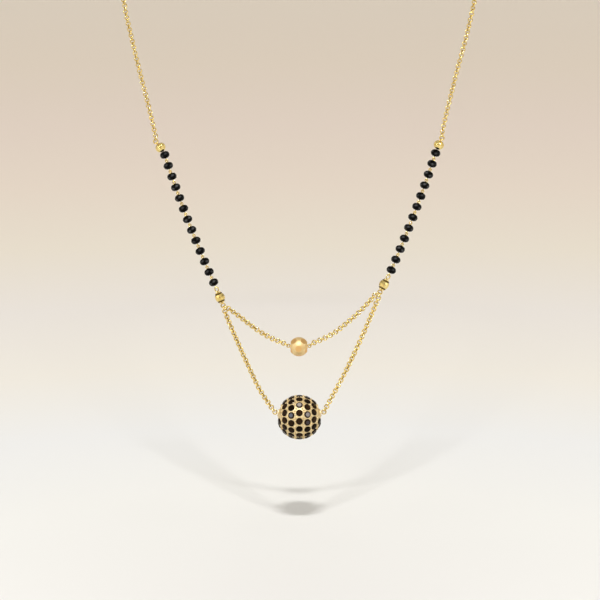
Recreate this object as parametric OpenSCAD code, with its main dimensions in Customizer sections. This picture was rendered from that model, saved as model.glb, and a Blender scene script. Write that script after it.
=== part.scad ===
// Mangalsutra: a fine gold chain necklace whose two strings of black rondelle beads end in small
// diamond-cut balls. From these hang a short swag with a polished ball and a longer chain with a
// ball set all over with black stones. Millimetres, as worn: +Z up, the wearer faces -Y and the
// origin is at the nape, in the middle of the clasp.

/* [Lie on the wearer] */
// Lean of the front of the necklace on the chest, in degrees
front_tilt = 20; // [15:1:25]
// Depth of the large ball's centre below the nape
drop = 121; // [115:1:127]
// Distance of the large ball's centre in front of the nape
reach = 110; // [105:1:115]

/* [Large ball] */
// Diameter of the large ball
pave_d = 9; // [8.6:0.1:9.8]
// Wall of the hollow large ball
pave_wall = 0.95; // [0.8:0.05:1.2]
// Height of each hanging eye above the level of the ball's centre, in degrees
eye_lift = 12; // [8:1:16]
// Diameter of the boss under each hanging eye
boss_d = 1.5; // [1.3:0.1:1.7]
// Height of the boss above the ball
boss_rise = 0.12; // [0.1:0.02:0.2]
// Outer diameter of each hanging eye
ball_eye_od = 1.16; // [1.12:0.02:1.3]
// Wire of each hanging eye
ball_eye_wire = 0.16; // [0.12:0.02:0.18]

/* [Set stones] */
// Diameter of a set stone
stone_d = 1.3; // [1.1:0.05:1.35]
// Number of sides of a set stone
stone_sides = 8; // [8, 10]
// Diameter of a stone's table
stone_table_d = 0.75; // [0.6:0.05:0.9]
// Height of a stone's crown above its girdle
stone_crown = 0.18; // [0.12:0.02:0.22]
// Thickness of a stone's girdle
stone_girdle = 0.04; // [0.03:0.01:0.06]
// Depth of a stone's point below its girdle
stone_depth = 0.5; // [0.4:0.02:0.56]
// Depth of a stone's girdle below the ball's surface
stone_sink = 0.12; // [0.1:0.02:0.16]
// Width of the flat floor of a stone's seat
seat_floor_d = 0.4; // [0.3:0.05:0.5]

/* [Swag ball] */
// Diameter of the polished ball on the swag
swag_ball_d = 3.9; // [3.6:0.1:4.2]
// Length of the polished ball between its flat ends
swag_ball_len = 3.5; // [3.3:0.1:3.6]
// Wall of the polished ball
swag_ball_wall = 0.4; // [0.3:0.05:0.5]
// Diameter of the collar at each end of the polished ball
swag_collar_d = 1; // [0.8:0.1:1.2]
// Length of that collar
swag_collar_len = 0.05; // [0.05:0.05:0.3]
// Outer diameter of the eyes beside the polished ball
swag_eye_od = 0.86; // [0.84:0.02:1]
// Wire of the pin through the polished ball
swag_pin_wire = 0.18; // [0.14:0.02:0.2]

/* [Black beads] */
// Number of black beads on each side, the wearer's right side first
bead_counts = [13, 12];
// Diameter of a black bead
bead_d = 2.05; // [1.9:0.05:2.3]
// Length of a black bead along its string
bead_len = 1.45; // [1.3:0.05:1.6]
// Number of sides of a black bead
bead_sides = 12; // [10, 12]
// Gap that the two hooked eyes fill between neighbouring beads
bead_gap = 0.94; // [0.9:0.01:1]

/* [Gold beads] */
// Diameter of the gold bead at the top of each string
end_bead_d = 2.15; // [1.9:0.05:2.4]
// Length of that gold bead
end_bead_len = 1.92; // [1.8:0.02:2.1]
// Number of flutes on that gold bead
end_bead_sides = 10; // [8, 10, 12]
// Diameter of the diamond-cut ball where each string divides
junction_d = 2.1; // [1.9:0.05:2.3]
// Number of sides of the diamond-cut ball
junction_sides = 12; // [10, 12]
// Diameter of the collars on the diamond-cut ball
junction_collar_d = 1; // [0.8:0.05:1.05]
// Length of each of these collars
junction_collar_len = 0.16; // [0.1:0.02:0.2]

/* [Pins and rings] */
// Wire of the eye pins that join the beads
pin_wire = 0.12; // [0.1:0.01:0.13]
// Outer diameter of their eyes
pin_eye_od = 0.6; // [0.58:0.01:0.64]
// Outer diameter of the eye at the top of each string
top_eye_od = 0.7; // [0.66:0.02:0.8]
// Wire of the pin through the diamond-cut ball
junction_wire = 0.16; // [0.14:0.01:0.18]
// Width of the long loop above the diamond-cut ball
loop_w = 0.97; // [0.9:0.01:1.1]
// Outer length of that loop
loop_len = 1.2; // [1.15:0.05:1.4]
// Wire of the round rings
ring_wire = 0.2; // [0.16:0.02:0.22]
// Outer diameter of the ring below the diamond-cut ball, from which both chains hang
fork_od = 1.44; // [1.4:0.02:1.6]
// Outer diameter of the ring at the foot of each neck chain
end_ring_od = 1.37; // [1.2:0.01:1.5]

/* [Chains] */
// Outer diameter of a chain link
link_od = 1.06; // [1:0.02:1.2]
// Wire of a chain link
link_wire = 0.18; // [0.14:0.01:0.2]
// Diameter of the rope that the finest links fill
strand_d = 0.9; // [0.8:0.05:1]
// Diameter of that rope at its ends, where it closes on a ring
strand_end_d = 0.5; // [0.4:0.05:0.7]

/* [Clasp] */
// Outer diameter of the ring clasp
clasp_od = 5; // [4.5:0.1:6]
// Thickness of the ring clasp
clasp_t = 1.1; // [0.9:0.05:1.3]
// Outer diameter of the clasp's eye
clasp_eye_od = 1.8; // [1.6:0.1:2.2]
// Wire of the clasp's eye and of the ring that it closes on
clasp_wire = 0.4; // [0.3:0.05:0.5]
// Outer diameter of the ring that the clasp closes on
clasp_ring_od = 2.4; // [2.2:0.1:3]

/* [Clearances] */
// Free space between neighbouring wires
wire_clear = 0.1; // [0.08:0.01:0.12]
// Free space between a bead and its pin, and between a stone and its seat
bore_clear = 0.05; // [0.03:0.01:0.08]
// Free space between two beads on one pin, and between a bead's face and its eye
face_clear = 0.04; // [0.03:0.01:0.06]
// Bare wire between the bend of each highest pin and the gold bead above it
bend_rise = 0.1; // [0.1:0.01:0.14]

/* [Hidden] */
$fn = 24;
GOLD = "#d9a441";
BLACK = "#141416";
SIDES = ["left", "right"];
turned = [-1, 1];

// Routes in the plane of the front, as [right, up] from the large ball's centre.
// Centre of the lowest black bead of each string
string_foot = [[-18, 28.3], [19.3, 30.9]];
// Lean of each string at its lowest and highest bead, and of the diamond-cut ball, in degrees
string_low = [24, 23.5];
string_high = [18, 18];
junction_lean = [22, 28];
// Lean of the gold bead and the ring above each string, and of the neck chain where it starts
top_pin_lean = [30, 24];
neck_lean = [14, 15];
// Directions in which the long chain and the swag leave the ring, in degrees from straight down
long_hang = [15, 8];
swag_hang = [61, 60];
// Centre of the polished ball, and how steeply the swag rises from its eyes, in degrees
swag_ball_at = [-0.1, 14.8];
swag_rise = [29, 34];
// Points on the way down from the ring to the large ball
long_route = [
    [[-15, 20.5], [-12.9, 15.6], [-10.7, 10.7], [-8.5, 6.1], [-6.4, 2.8]],
    [[15.5, 22.4], [13.5, 17.7], [11.4, 13.1], [9.2, 8.6], [6.8, 4.2]]
];
// Points on the way down from the ring to the polished ball
swag_route = [
    [[-12.4, 21], [-10.2, 19.3], [-7.9, 17.7], [-5.5, 16.4]],
    [[14.9, 24.5], [13.2, 22.7], [11.4, 21], [9.5, 19.4], [7.5, 17.8], [5.3, 16.6]]
];
// Points on the way up from the top of each string, as far as the front is flat
neck_front = [
    [[-31.4, 64.2], [-32.7, 69.3], [-34, 74.4], [-35.2, 79.5], [-36.4, 84.6], [-36.9, 87.6]],
    [[30.8, 63.5], [32, 68.3], [33.2, 73.1], [34.5, 77.8], [35.7, 82.6], [36.8, 87.6]]
];
// Points from there round the neck to the nape, in the necklace's own frame, on the wearer's left
neck_back = [
    [39.3, -76, -28], [44, -66, -18], [50, -48, -10], [50, -28, -5], [40, -11, -2], [22, -2, 0]
];

// Outline of a black bead and of the gold beads: share of the radius, share of the half length
BEAD_CUT = [[0.5, 1], [0.84, 0.66], [1, 0.2]];
END_CUT = [[0.42, 1], [0.74, 0.76], [0.95, 0.36], [1, 0]];
BALL_CUT = [[0.32, 0.95], [0.62, 0.78], [0.87, 0.5], [0.99, 0.14]];

// Rows of set stones: latitude from the ball's middle column, number, first turn, step
STONE_ROWS = [
    [-68, 3, 30, 60],
    [-43.5, 13, 9.5, 360 / 13],
    [-22, 16, 15, 22.5],
    [0, 16, 8.5, 22.5],
    [22, 16, 12.5, 22.5],
    [43.5, 13, 6.5, 360 / 13],
    [68, 3, 30, 60]
];

pave_r = pave_d / 2;
bead_pitch = bead_len + bead_gap;
pin_r = pin_wire / 2;
pin_hole = pin_r + bore_clear;
junction_hole = junction_wire / 2 + bore_clear;
swag_hole = swag_pin_wire / 2 + bore_clear;
link_r = (link_od - link_wire) / 2;
seat_r = stone_d / 2 + bore_clear;

// How far apart the centres of two hooked rings may lie
function hooked(od_a, wire_a, od_b, wire_b) =
    (od_a + od_b) / 2 - wire_a - wire_b - wire_clear;

link_reach = hooked(link_od, link_wire, link_od, link_wire);
fork_reach = hooked(fork_od, ring_wire, link_od, link_wire);
boss_top = pave_r + boss_rise;
first_link = boss_top + wire_clear + link_od / 2;
swag_eye_at = swag_ball_len / 2 + swag_collar_len + face_clear + swag_eye_od / 2;

// Height of a pin's eye above the bead's middle, and of the loop and ring about the diamond-cut ball
eye_at = bead_len / 2 + face_clear + pin_eye_od / 2;
ball_top = junction_d / 2 + junction_collar_len;
loop_at = ball_top + face_clear + loop_len / 2;
fork_at = ball_top + face_clear + fork_od / 2;
loop_hook = loop_at + loop_len / 2 - junction_wire / 2;

// The highest pin is bent above its black bead; the gold bead and the larger eye follow the bend
bend_at = bead_len / 2 + face_clear;
end_bead_at = bend_at + bend_rise + end_bead_len / 2;
top_eye_at = end_bead_at + end_bead_len / 2 + face_clear + top_eye_od / 2;
end_ring_at = top_eye_at + hooked(top_eye_od, pin_wire, end_ring_od, ring_wire);

clasp_eye_x = -(clasp_od + clasp_eye_od) / 2 + clasp_wire;
clasp_ring_x = hooked(clasp_od, clasp_t, clasp_ring_od, clasp_wire);
strand_ends = [
    [clasp_eye_x - clasp_eye_od / 2 - face_clear, 0, 0],
    [clasp_ring_x + clasp_ring_od / 2 + face_clear, 0, 0]
];

// Number of flat steps that a curve takes between two route points
CURVE_STEPS = 6;
NECK_STEPS = 2;
STRAND_SIDES = 8;

function bead_names(s) = [for (i = [1:bead_counts[s]]) str("bead_", SIDES[s], "_", i)];

PAIRS = ["neck_chain", "end_ring", "end_bead", "bead_pins", "junction_ball", "junction_pin",
    "swag_chain", "long_chain"];

// Direction in the plane of the front at an angle from straight up, to the right
function heading(a) = [sin(a), cos(a)];

// Place of a point of the front's plane in the necklace's frame
function front_point(p) = [
    p[0],
    p[1] * sin(front_tilt) - reach,
    p[1] * cos(front_tilt) - drop
];

// Lean of a string at bead i, counted from its foot, and that bead's centre
function lean(s, i) =
    string_low[s] + (string_high[s] - string_low[s]) * i / (bead_counts[s] - 1);
function bead_at(s, i) =
    i == 0
        ? string_foot[s]
        : bead_at(s, i - 1) + bead_pitch * heading(turned[s] * lean(s, i - 0.5));
function junction_at(s) = string_foot[s] - eye_at * heading(turned[s] * lean(s, 0))
    - loop_hook * heading(turned[s] * junction_lean[s]);
function top_lean(s) = turned[s] * top_pin_lean[s];
function pin_bend(s) =
    bead_at(s, bead_counts[s] - 1) + bend_at * heading(turned[s] * string_high[s]);
function on_top_pin(s, height) = pin_bend(s) + (height - bend_at) * heading(top_lean(s));

// Ring below the diamond-cut ball, and the first link that hangs from it at an angle
function fork_centre(s) = junction_at(s) - fork_at * heading(turned[s] * junction_lean[s]);
function hung_link(s, hang) = fork_centre(s) - fork_reach * heading(turned[s] * hang);
function last_link(s) = first_link * [turned[s] * cos(eye_lift), sin(eye_lift)];

// A smooth curve through points, in flat steps
function curve_point(a, b, c, d, t) =
    (2 * b + (c - a) * t + (2 * a - 5 * b + 4 * c - d) * t * t
        + (3 * b - a - 3 * c + d) * t * t * t) / 2;
function smooth(points, steps) = let (n = len(points)) [
    for (i = [0:n - 2])
        let (
            b = points[i],
            c = points[i + 1],
            a = i > 0 ? points[i - 1] : 2 * b - c,
            d = i < n - 2 ? points[i + 2] : 2 * c - b
        )
        for (k = [0:steps - 1]) curve_point(a, b, c, d, k / steps),
    points[n - 1]
];

// A run of points that leaves its first and its last point straight, each in its own direction
function between(start, way_out, points, end, way_in, steps) = concat(
    [start],
    smooth(
        concat([start + link_reach * way_out], points, [end + link_reach * way_in]),
        steps
    ),
    [end]
);

// Distance along a run of points at each of them, and the place at a distance
function distances(points) = [
    for (
        i = 0, gone = 0;
        i < len(points);
        gone = gone + (i < len(points) - 1 ? norm(points[i + 1] - points[i]) : 0), i = i + 1
    ) gone
];
function place_at(points, gone, s) =
    let (
        i = max([for (k = [0:len(points) - 2]) if (gone[k] <= s) k]),
        share = (s - gone[i]) / (gone[i + 1] - gone[i])
    )
    points[i] + share * (points[i + 1] - points[i]);

module on_front(p) {
    translate(front_point(p)) rotate([-front_tilt, 0, 0]) children();
}

// Stands on a string or pin: local +Z runs up along it
module on_string(p, angle) {
    on_front(p) rotate([0, angle, 0]) children();
}

module round_ring(od, wire) {
    rotate_extrude() translate([(od - wire) / 2, 0]) circle(d = wire);
}

// A ring in the plane of the front, and one that stands across it along local Z
module ring_flat(od, wire) {
    rotate([90, 0, 0]) round_ring(od, wire);
}

module ring_across(od, wire) {
    rotate([0, 90, 0]) round_ring(od, wire);
}

// A ring drawn out to a length along local Z, in the plane of the front
module long_loop(width, length, wire) {
    bend = (width - wire) / 2;
    straight = length - width;
    rotate([90, 0, 0]) {
        for (end = [0, 1])
            rotate([0, 0, 180 * end]) {
                translate([0, straight / 2, 0])
                    rotate_extrude(angle = 180) translate([bend, 0]) circle(d = wire);
                translate([bend, 0, 0])
                    rotate([90, 0, 0]) cylinder(d = wire, h = straight, center = true);
            }
    }
}

// Turns an outline given as shares about a drilled hole
module cut_bead(cut, d, length, hole, sides) {
    upper = [for (p = cut) [p[0] * d / 2, p[1] * length / 2]];
    lower = [for (i = [len(cut) - 1:-1:0]) if (cut[i][1] > 0) [upper[i][0], -upper[i][1]]];
    inner = hole / cos(180 / sides);
    rotate_extrude($fn = sides)
        polygon(concat([[inner, upper[0][1]]], upper, lower, [[inner, -upper[0][1]]]));
}

// The straight of a pin is a little thinner than its eyes, because it is drawn out
module shank(from, to, wire) {
    translate([0, 0, from]) cylinder(d = 0.85 * wire, h = to - from);
}

module clasp() {
    color(GOLD) rotate([90, 0, 0]) {
        round_ring(clasp_od, clasp_t);
        translate([clasp_eye_x, 0, 0]) round_ring(clasp_eye_od, clasp_wire);
    }
}

module clasp_ring() {
    color(GOLD) translate([clasp_ring_x, 0, 0]) round_ring(clasp_ring_od, clasp_wire);
}

// Directions along a run of points, and for each a direction across it that never twists
function unit(v) = v / norm(v);
function ways(points) = let (last = len(points) - 1) [
    for (i = [0:last]) unit(points[min(i + 1, last)] - points[max(i - 1, 0)])
];
function square_to(v, way) = unit(v - (v * way) * way);
function carried(along, start) = [
    for (
        i = 0, across = square_to(start, along[0]);
        i < len(along);
        i = i + 1, across = i < len(along) ? square_to(across, along[i]) : across
    ) across
];

// A plain rope of the chain's width, swept along points and drawn in at its ends
module strand(points) {
    n = len(points);
    sides = STRAND_SIDES;
    radii = [for (i = [0:n - 1]) (i == 0 || i == n - 1 ? strand_end_d : strand_d) / 2];
    along = ways(points);
    across = carried(along, [1, 0, 0]);
    rings = [
        for (i = [0:n - 1], k = [0:sides - 1])
            let (turn = 360 * k / sides, side = cross(along[i], across[i]))
            points[i] + radii[i] * (cos(turn) * across[i] + sin(turn) * side)
    ];
    walls = [
        for (i = [0:n - 2], k = [0:sides - 1])
            let (a = i * sides + k, b = i * sides + (k + 1) % sides)
            each [[a, b, b + sides], [a, b + sides, a + sides]]
    ];
    ends = [[for (k = [sides - 1:-1:0]) k], [for (k = [0:sides - 1]) (n - 1) * sides + k]];
    polyhedron(rings, concat(walls, ends));
}

module neck_chain(s) {
    ring = on_top_pin(s, end_ring_at);
    way_out = heading(turned[s] * neck_lean[s]);
    start = front_point(ring + (end_ring_od / 2 + face_clear) * way_out);
    route = concat(
        [for (p = neck_front[s]) front_point(p)],
        [for (p = neck_back) [turned[s] * p[0], p[1], p[2]]]
    );
    color(GOLD)
        strand(between(
            start, unit(start - front_point(ring)),
            route,
            strand_ends[s], [turned[s], 0, 0],
            NECK_STEPS
        ));
}

module end_ring(s) {
    color(GOLD) on_front(on_top_pin(s, end_ring_at)) ring_flat(end_ring_od, ring_wire);
}

module end_bead(s) {
    color(GOLD) on_string(on_top_pin(s, end_bead_at), top_lean(s))
        cut_bead(END_CUT, end_bead_d, end_bead_len, pin_hole, end_bead_sides);
}

module black_bead(s, i) {
    color(BLACK) on_string(bead_at(s, i), turned[s] * lean(s, i))
        cut_bead(BEAD_CUT, bead_d, bead_len, pin_hole, bead_sides);
}

// One pin for each black bead; the highest carries the gold bead too and ends in a larger eye
module bead_pins(s) {
    last = bead_counts[s] - 1;
    hook_at = eye_at - (pin_eye_od - pin_wire) / 2;
    color(GOLD)
        for (i = [0:last])
            on_string(bead_at(s, i), turned[s] * lean(s, i)) {
                translate([0, 0, -eye_at]) ring_across(pin_eye_od, pin_wire);
                shank(-hook_at, i < last ? hook_at : bend_at, pin_wire);
                if (i < last) translate([0, 0, eye_at]) ring_flat(pin_eye_od, pin_wire);
            }
    color(GOLD) on_string(pin_bend(s), top_lean(s)) {
        sphere(d = pin_wire);
        shank(0, top_eye_at - bend_at - (top_eye_od - pin_wire) / 2, pin_wire);
        translate([0, 0, top_eye_at - bend_at]) ring_across(top_eye_od, pin_wire);
    }
}

module junction_ball(s) {
    color(GOLD) on_string(junction_at(s), turned[s] * junction_lean[s]) {
        difference() {
            union() {
                cut_bead(BALL_CUT, junction_d, junction_d, junction_hole, junction_sides);
                for (end = [-1, 1])
                    translate([0, 0, end * (ball_top - junction_collar_len)])
                        cylinder(d = junction_collar_d, h = 2 * junction_collar_len, center = true);
            }
            cylinder(r = junction_hole, h = 2 * junction_d, center = true);
        }
    }
}

module junction_pin(s) {
    color(GOLD) on_string(junction_at(s), turned[s] * junction_lean[s]) {
        shank(-fork_at + (fork_od - ring_wire) / 2, loop_at - (loop_len - junction_wire) / 2,
            junction_wire);
        translate([0, 0, loop_at]) long_loop(loop_w, loop_len, junction_wire);
        translate([0, 0, -fork_at]) ring_flat(fork_od, ring_wire);
    }
}

module swag_chain(s) {
    down = -heading(turned[s] * swag_hang[s]);
    up = heading(turned[s] * (90 - swag_rise[s]));
    eye = swag_ball_at + [turned[s] * swag_eye_at, 0];
    route = between(
        fork_centre(s) + (fork_od / 2 + face_clear) * down, down,
        swag_route[s],
        eye + (swag_eye_od / 2 + face_clear) * up, up,
        1
    );
    color(GOLD) strand([for (p = route) front_point(p)]);
}

module swag_ball() {
    color(GOLD) on_front(swag_ball_at) rotate([0, 90, 0])
        difference() {
            union() {
                intersection() {
                    sphere(d = swag_ball_d);
                    cylinder(d = 2 * swag_ball_d, h = swag_ball_len, center = true);
                }
                cylinder(d = swag_collar_d, h = swag_ball_len + 2 * swag_collar_len, center = true);
            }
            sphere(d = swag_ball_d - 2 * swag_ball_wall);
            cylinder(r = swag_hole, h = 2 * swag_ball_d, center = true);
        }
}

module swag_pin() {
    hook = swag_eye_at - (swag_eye_od - swag_pin_wire) / 2;
    color(GOLD) on_front(swag_ball_at) rotate([0, 90, 0]) {
        shank(-hook, hook, swag_pin_wire);
        for (end = [-1, 1])
            translate([0, 0, end * swag_eye_at]) ring_flat(swag_eye_od, swag_pin_wire);
    }
}

// Links alternate between lying in the plane of the front and standing across it. They start
// across it at the ring and end in it at the large ball, so their number is even.
module long_chain(s) {
    points = smooth(
        concat([hung_link(s, long_hang[s])], long_route[s], [last_link(s)]),
        CURVE_STEPS
    );
    gone = distances(points);
    length = gone[len(gone) - 1];
    steps = 2 * ceil((length / link_reach - 1) / 2) + 1;
    color(GOLD)
        for (i = [0:steps]) {
            s_here = length * i / steps;
            here = place_at(points, gone, min(s_here, length));
            ahead = place_at(points, gone, min(s_here + link_r, length));
            behind = place_at(points, gone, max(s_here - link_r, 0));
            way = ahead - behind;
            on_string(here, atan2(way[0], way[1]))
                if (i % 2 == 0) ring_across(link_od, link_wire);
                else ring_flat(link_od, link_wire);
        }
}

// Puts a child at each stone's place on the large ball, with local +Z outwards
module at_stones() {
    for (row = STONE_ROWS, i = [0:row[1] - 1])
        rotate([90 + row[2] + row[3] * i, 0, 0]) rotate([0, row[0], 0])
            translate([0, 0, pave_r - stone_sink]) children();
}

module seat() {
    rim_at = stone_sink + stone_crown;
    floor_at = -stone_depth - 2 * bore_clear;
    rotate_extrude()
        polygon([
            [0, floor_at],
            [seat_floor_d / 2, floor_at],
            [seat_r, -stone_girdle],
            [seat_r, rim_at],
            [0, rim_at]
        ]);
}

module pave_ball() {
    color(GOLD) on_front([0, 0]) {
        difference() {
            union() {
                sphere(d = pave_d);
                for (side = turned)
                    rotate([0, side * (90 - eye_lift), 0])
                        translate([0, 0, boss_top - pave_wall / 2])
                            cylinder(d = boss_d, h = pave_wall / 2);
            }
            sphere(d = pave_d - 2 * pave_wall);
            at_stones() seat();
        }
        for (side = turned)
            rotate([0, side * (90 - eye_lift), 0])
                translate([0, 0, boss_top]) ring_across(ball_eye_od, ball_eye_wire);
    }
}

module stone() {
    r = stone_d / 2;
    rotate_extrude($fn = stone_sides)
        polygon([
            [0, -stone_depth],
            [r, -stone_girdle / 2],
            [r, stone_girdle / 2],
            [stone_table_d / 2, stone_crown],
            [0, stone_crown]
        ]);
}

module pave_stones() {
    color(BLACK) on_front([0, 0]) at_stones() stone();
}

clasp();
clasp_ring();
swag_ball();
swag_pin();
pave_ball();
pave_stones();
for (s = [0, 1]) {
    neck_chain(s);
    end_ring(s);
    end_bead(s);
    bead_pins(s);
    junction_ball(s);
    junction_pin(s);
    swag_chain(s);
    long_chain(s);
    for (i = [0:bead_counts[s] - 1])
        black_bead(s, i);
}
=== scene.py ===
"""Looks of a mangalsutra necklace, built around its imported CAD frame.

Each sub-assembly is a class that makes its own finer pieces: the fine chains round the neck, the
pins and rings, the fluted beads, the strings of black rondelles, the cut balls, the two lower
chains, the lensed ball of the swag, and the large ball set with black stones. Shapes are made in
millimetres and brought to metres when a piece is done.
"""

from __future__ import annotations

import logging
import math
import random
from dataclasses import dataclass
from enum import Enum
from typing import Any, Callable, Iterable, Sequence

import bmesh
import bpy
from mathutils import Matrix, Vector
from mathutils.kdtree import KDTree

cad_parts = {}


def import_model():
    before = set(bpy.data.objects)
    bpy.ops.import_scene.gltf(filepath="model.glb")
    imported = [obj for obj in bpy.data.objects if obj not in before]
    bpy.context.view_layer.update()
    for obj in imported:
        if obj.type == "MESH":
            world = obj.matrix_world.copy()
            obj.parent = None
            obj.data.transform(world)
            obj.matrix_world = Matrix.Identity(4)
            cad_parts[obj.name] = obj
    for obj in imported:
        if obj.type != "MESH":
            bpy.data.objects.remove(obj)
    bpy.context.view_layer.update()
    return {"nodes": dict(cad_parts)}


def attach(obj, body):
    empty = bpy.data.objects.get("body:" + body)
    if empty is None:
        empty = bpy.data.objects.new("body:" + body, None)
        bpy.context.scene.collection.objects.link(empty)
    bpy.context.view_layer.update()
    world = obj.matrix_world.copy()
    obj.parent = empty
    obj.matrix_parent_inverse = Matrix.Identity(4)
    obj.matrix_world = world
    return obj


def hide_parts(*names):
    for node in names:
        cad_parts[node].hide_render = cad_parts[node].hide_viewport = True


LOG = logging.getLogger("mangalsutra")

MM = 0.001
BODY = "root"

Colour = tuple[float, float, float]
Pair = tuple[float, float]
Route = tuple[Pair, ...]
Shape = bmesh.types.BMesh

# Marks that a shape's corners carry for its finish: stone tone with painted glints and reflections,
# painted shade in hollows, and the lenses
TONE_AND_GLINT_NAME = "stone_shade"
PAINTED_SHADE_NAME = "hollow_share"
LENS_NAME = "lens_share"

# Socket types of the node groups
FLOAT = "NodeSocketFloat"
VECTOR = "NodeSocketVector"
COLOUR = "NodeSocketColor"


# Nodes


class NodeSheet:
    """Lays out the nodes of one material, world or group."""

    def __init__(self, tree: bpy.types.NodeTree) -> None:
        """Takes over a tree and clears it."""
        self.tree = tree
        tree.nodes.clear()

    def add(self, kind: str, settings: dict[str, Any] | None = None, **sockets: Any) -> Any:
        """Adds a node.

        Args:
            kind: the node's type name.
            settings: values of the node's own properties.
            **sockets: a value, or another node's output, for each named input. An underscore
                in a name stands for a space.

        Returns:
            The new node.
        """
        node = self.tree.nodes.new(kind)
        for name, value in (settings or {}).items():
            setattr(node, name, value)
        for name, value in sockets.items():
            self.feed(node, name.replace("_", " "), value)
        return node

    def feed(self, node: bpy.types.Node, name: str | int, value: Any) -> None:
        """Sets or links one input of a node.

        Args:
            node: the node that owns the input.
            name: the input's name, or its number where two have the same name.
            value: a plain value or the output to link; a colour may come without its alpha.
        """
        if isinstance(name, int):
            socket = node.inputs[name]
        else:
            socket = next(s for s in node.inputs if s.name == name and s.enabled)
        if isinstance(value, bpy.types.NodeSocket):
            self.tree.links.new(value, socket)
        elif socket.type == "RGBA" and len(value) == 3:
            socket.default_value = (*value, 1.0)
        else:
            socket.default_value = value

    def mix(self, kind: str, factor: Any, a: Any, b: Any, **settings: Any) -> Any:
        """Mixes two values or colours.

        Args:
            kind: FLOAT or RGBA.
            factor: share of the second one.
            a: the first one.
            b: the second one.
            **settings: values of the node's other properties.

        Returns:
            The output of the mix.
        """
        node = self.add("ShaderNodeMix", {"data_type": kind, **settings}, Factor=factor, A=a, B=b)
        return next(output for output in node.outputs if output.enabled)

    def noise(self, place: Any, scale: Any, detail: float, roughness: float = 0.5) -> Any:
        """Adds a cloud of noise.

        Args:
            place: the output that gives the place.
            scale: clouds to a metre.
            detail: number of finer layers in it.
            roughness: strength of the finer layers.

        Returns:
            The output of the noise, from 0 to 1.
        """
        node = self.add(
            "ShaderNodeTexNoise", Vector=place, Scale=scale, Detail=detail, Roughness=roughness
        )
        return node.outputs["Fac"]

    def spread(
        self, value: Any, low: float, high: float, ends: Sequence[Any] = (0.0, 1.0), kind: str = "LINEAR"
    ) -> Any:
        """Spreads a value over another range.

        Args:
            value: the output to spread.
            low: value at which the range starts.
            high: value at which it ends.
            ends: what comes out at these two.
            kind: how it goes from one to the other.

        Returns:
            The output of the new value.
        """
        node = self.add(
            "ShaderNodeMapRange",
            {"interpolation_type": kind},
            Value=value,
            From_Min=low,
            From_Max=high,
            To_Min=ends[0],
            To_Max=ends[1],
        )
        return node.outputs["Result"]

    def facing(self, way: Any, toward: Vector) -> Any:
        """Compares a direction with a fixed one.

        Args:
            way: the output that gives the direction.
            toward: the fixed direction, of length 1.

        Returns:
            The output of the cosine between them.
        """
        node = self.add("ShaderNodeVectorMath", {"operation": "DOT_PRODUCT"})
        self.feed(node, 0, way)
        self.feed(node, 1, toward)
        return node.outputs["Value"]

    def ramp(self, factor: Any, stops: Sequence[tuple[float, Colour]]) -> Any:
        """Adds a colour ramp.

        Args:
            factor: the output that drives it.
            stops: positions and colours, in order.

        Returns:
            The ramp's colour output.
        """
        node = self.add("ShaderNodeValToRGB", Fac=factor)
        elements = node.color_ramp.elements
        while len(elements) < len(stops):
            elements.new(1.0)
        for element, (position, colour) in zip(elements, stops):
            element.position = position
            element.color = (*colour, 1.0)
        return node.outputs["Color"]

    def surface(self, **sockets: Any) -> None:
        """Ends a material with its Principled surface, given its sockets as in add."""
        surface = self.add("ShaderNodeBsdfPrincipled", **sockets)
        self.add("ShaderNodeOutputMaterial", Surface=surface.outputs["BSDF"])


class SharedEffects:
    """Node groups that more than one finish uses."""

    def __init__(self) -> None:
        """Builds each group once."""
        self.polish = self._polish_group()
        self.drift = self._drift_group()

    @staticmethod
    def _start(
        name: str, inputs: dict[str, str], outputs: dict[str, str]
    ) -> tuple[NodeSheet, Any, Any]:
        """Starts a group with named sockets.

        Args:
            name: the group's name.
            inputs: socket type of each input.
            outputs: socket type of each output.

        Returns:
            The group's sheet, what is given to it, and the node that takes its results.
        """
        group = bpy.data.node_groups.new(name, "ShaderNodeTree")
        for way, sockets in (("INPUT", inputs), ("OUTPUT", outputs)):
            for label, kind in sockets.items():
                group.interface.new_socket(name=label, in_out=way, socket_type=kind)
        sheet = NodeSheet(group)
        return sheet, sheet.add("NodeGroupInput").outputs, sheet.add("NodeGroupOutput")

    def _polish_group(self) -> bpy.types.NodeTree:
        """Hand polish: uneven gloss, and the fine marks that a polishing wheel leaves.

        Returns:
            The group.
        """
        sheet, given, result = self._start(
            "hand_polish",
            {"Vector": VECTOR, "Scale": FLOAT, "Smoothest": FLOAT, "Roughest": FLOAT},
            {"Roughness": FLOAT, "Height": FLOAT},
        )
        patches = sheet.noise(given["Vector"], given["Scale"], detail=4.0, roughness=0.6)
        ends = (given["Smoothest"], given["Roughest"])
        sheet.feed(result, "Roughness", sheet.spread(patches, 0.3, 0.7, ends))
        across = sheet.add(
            "ShaderNodeMapping",
            {"vector_type": "POINT"},
            Vector=given["Vector"],
            Rotation=(0.5, 0.3, 0.9),
            Scale=(1.0, 5.0, 1.0),
        )
        marks = sheet.noise(across.outputs["Vector"], given["Scale"], detail=3.0, roughness=0.7)
        sheet.feed(result, "Height", marks)
        return sheet.tree

    def _drift_group(self) -> bpy.types.NodeTree:
        """Colour drift: the tone of a surface wanders a little between two colours.

        Returns:
            The group.
        """
        sheet, given, result = self._start(
            "tone_drift",
            {"Vector": VECTOR, "Scale": FLOAT, "Light": COLOUR, "Deep": COLOUR},
            {"Color": COLOUR},
        )
        cloud = sheet.noise(given["Vector"], given["Scale"], detail=3.0, roughness=0.55)
        share = sheet.spread(cloud, 0.35, 0.65)
        sheet.feed(result, "Color", sheet.mix("RGBA", share, given["Light"], given["Deep"]))
        return sheet.tree


# Finishes


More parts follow.
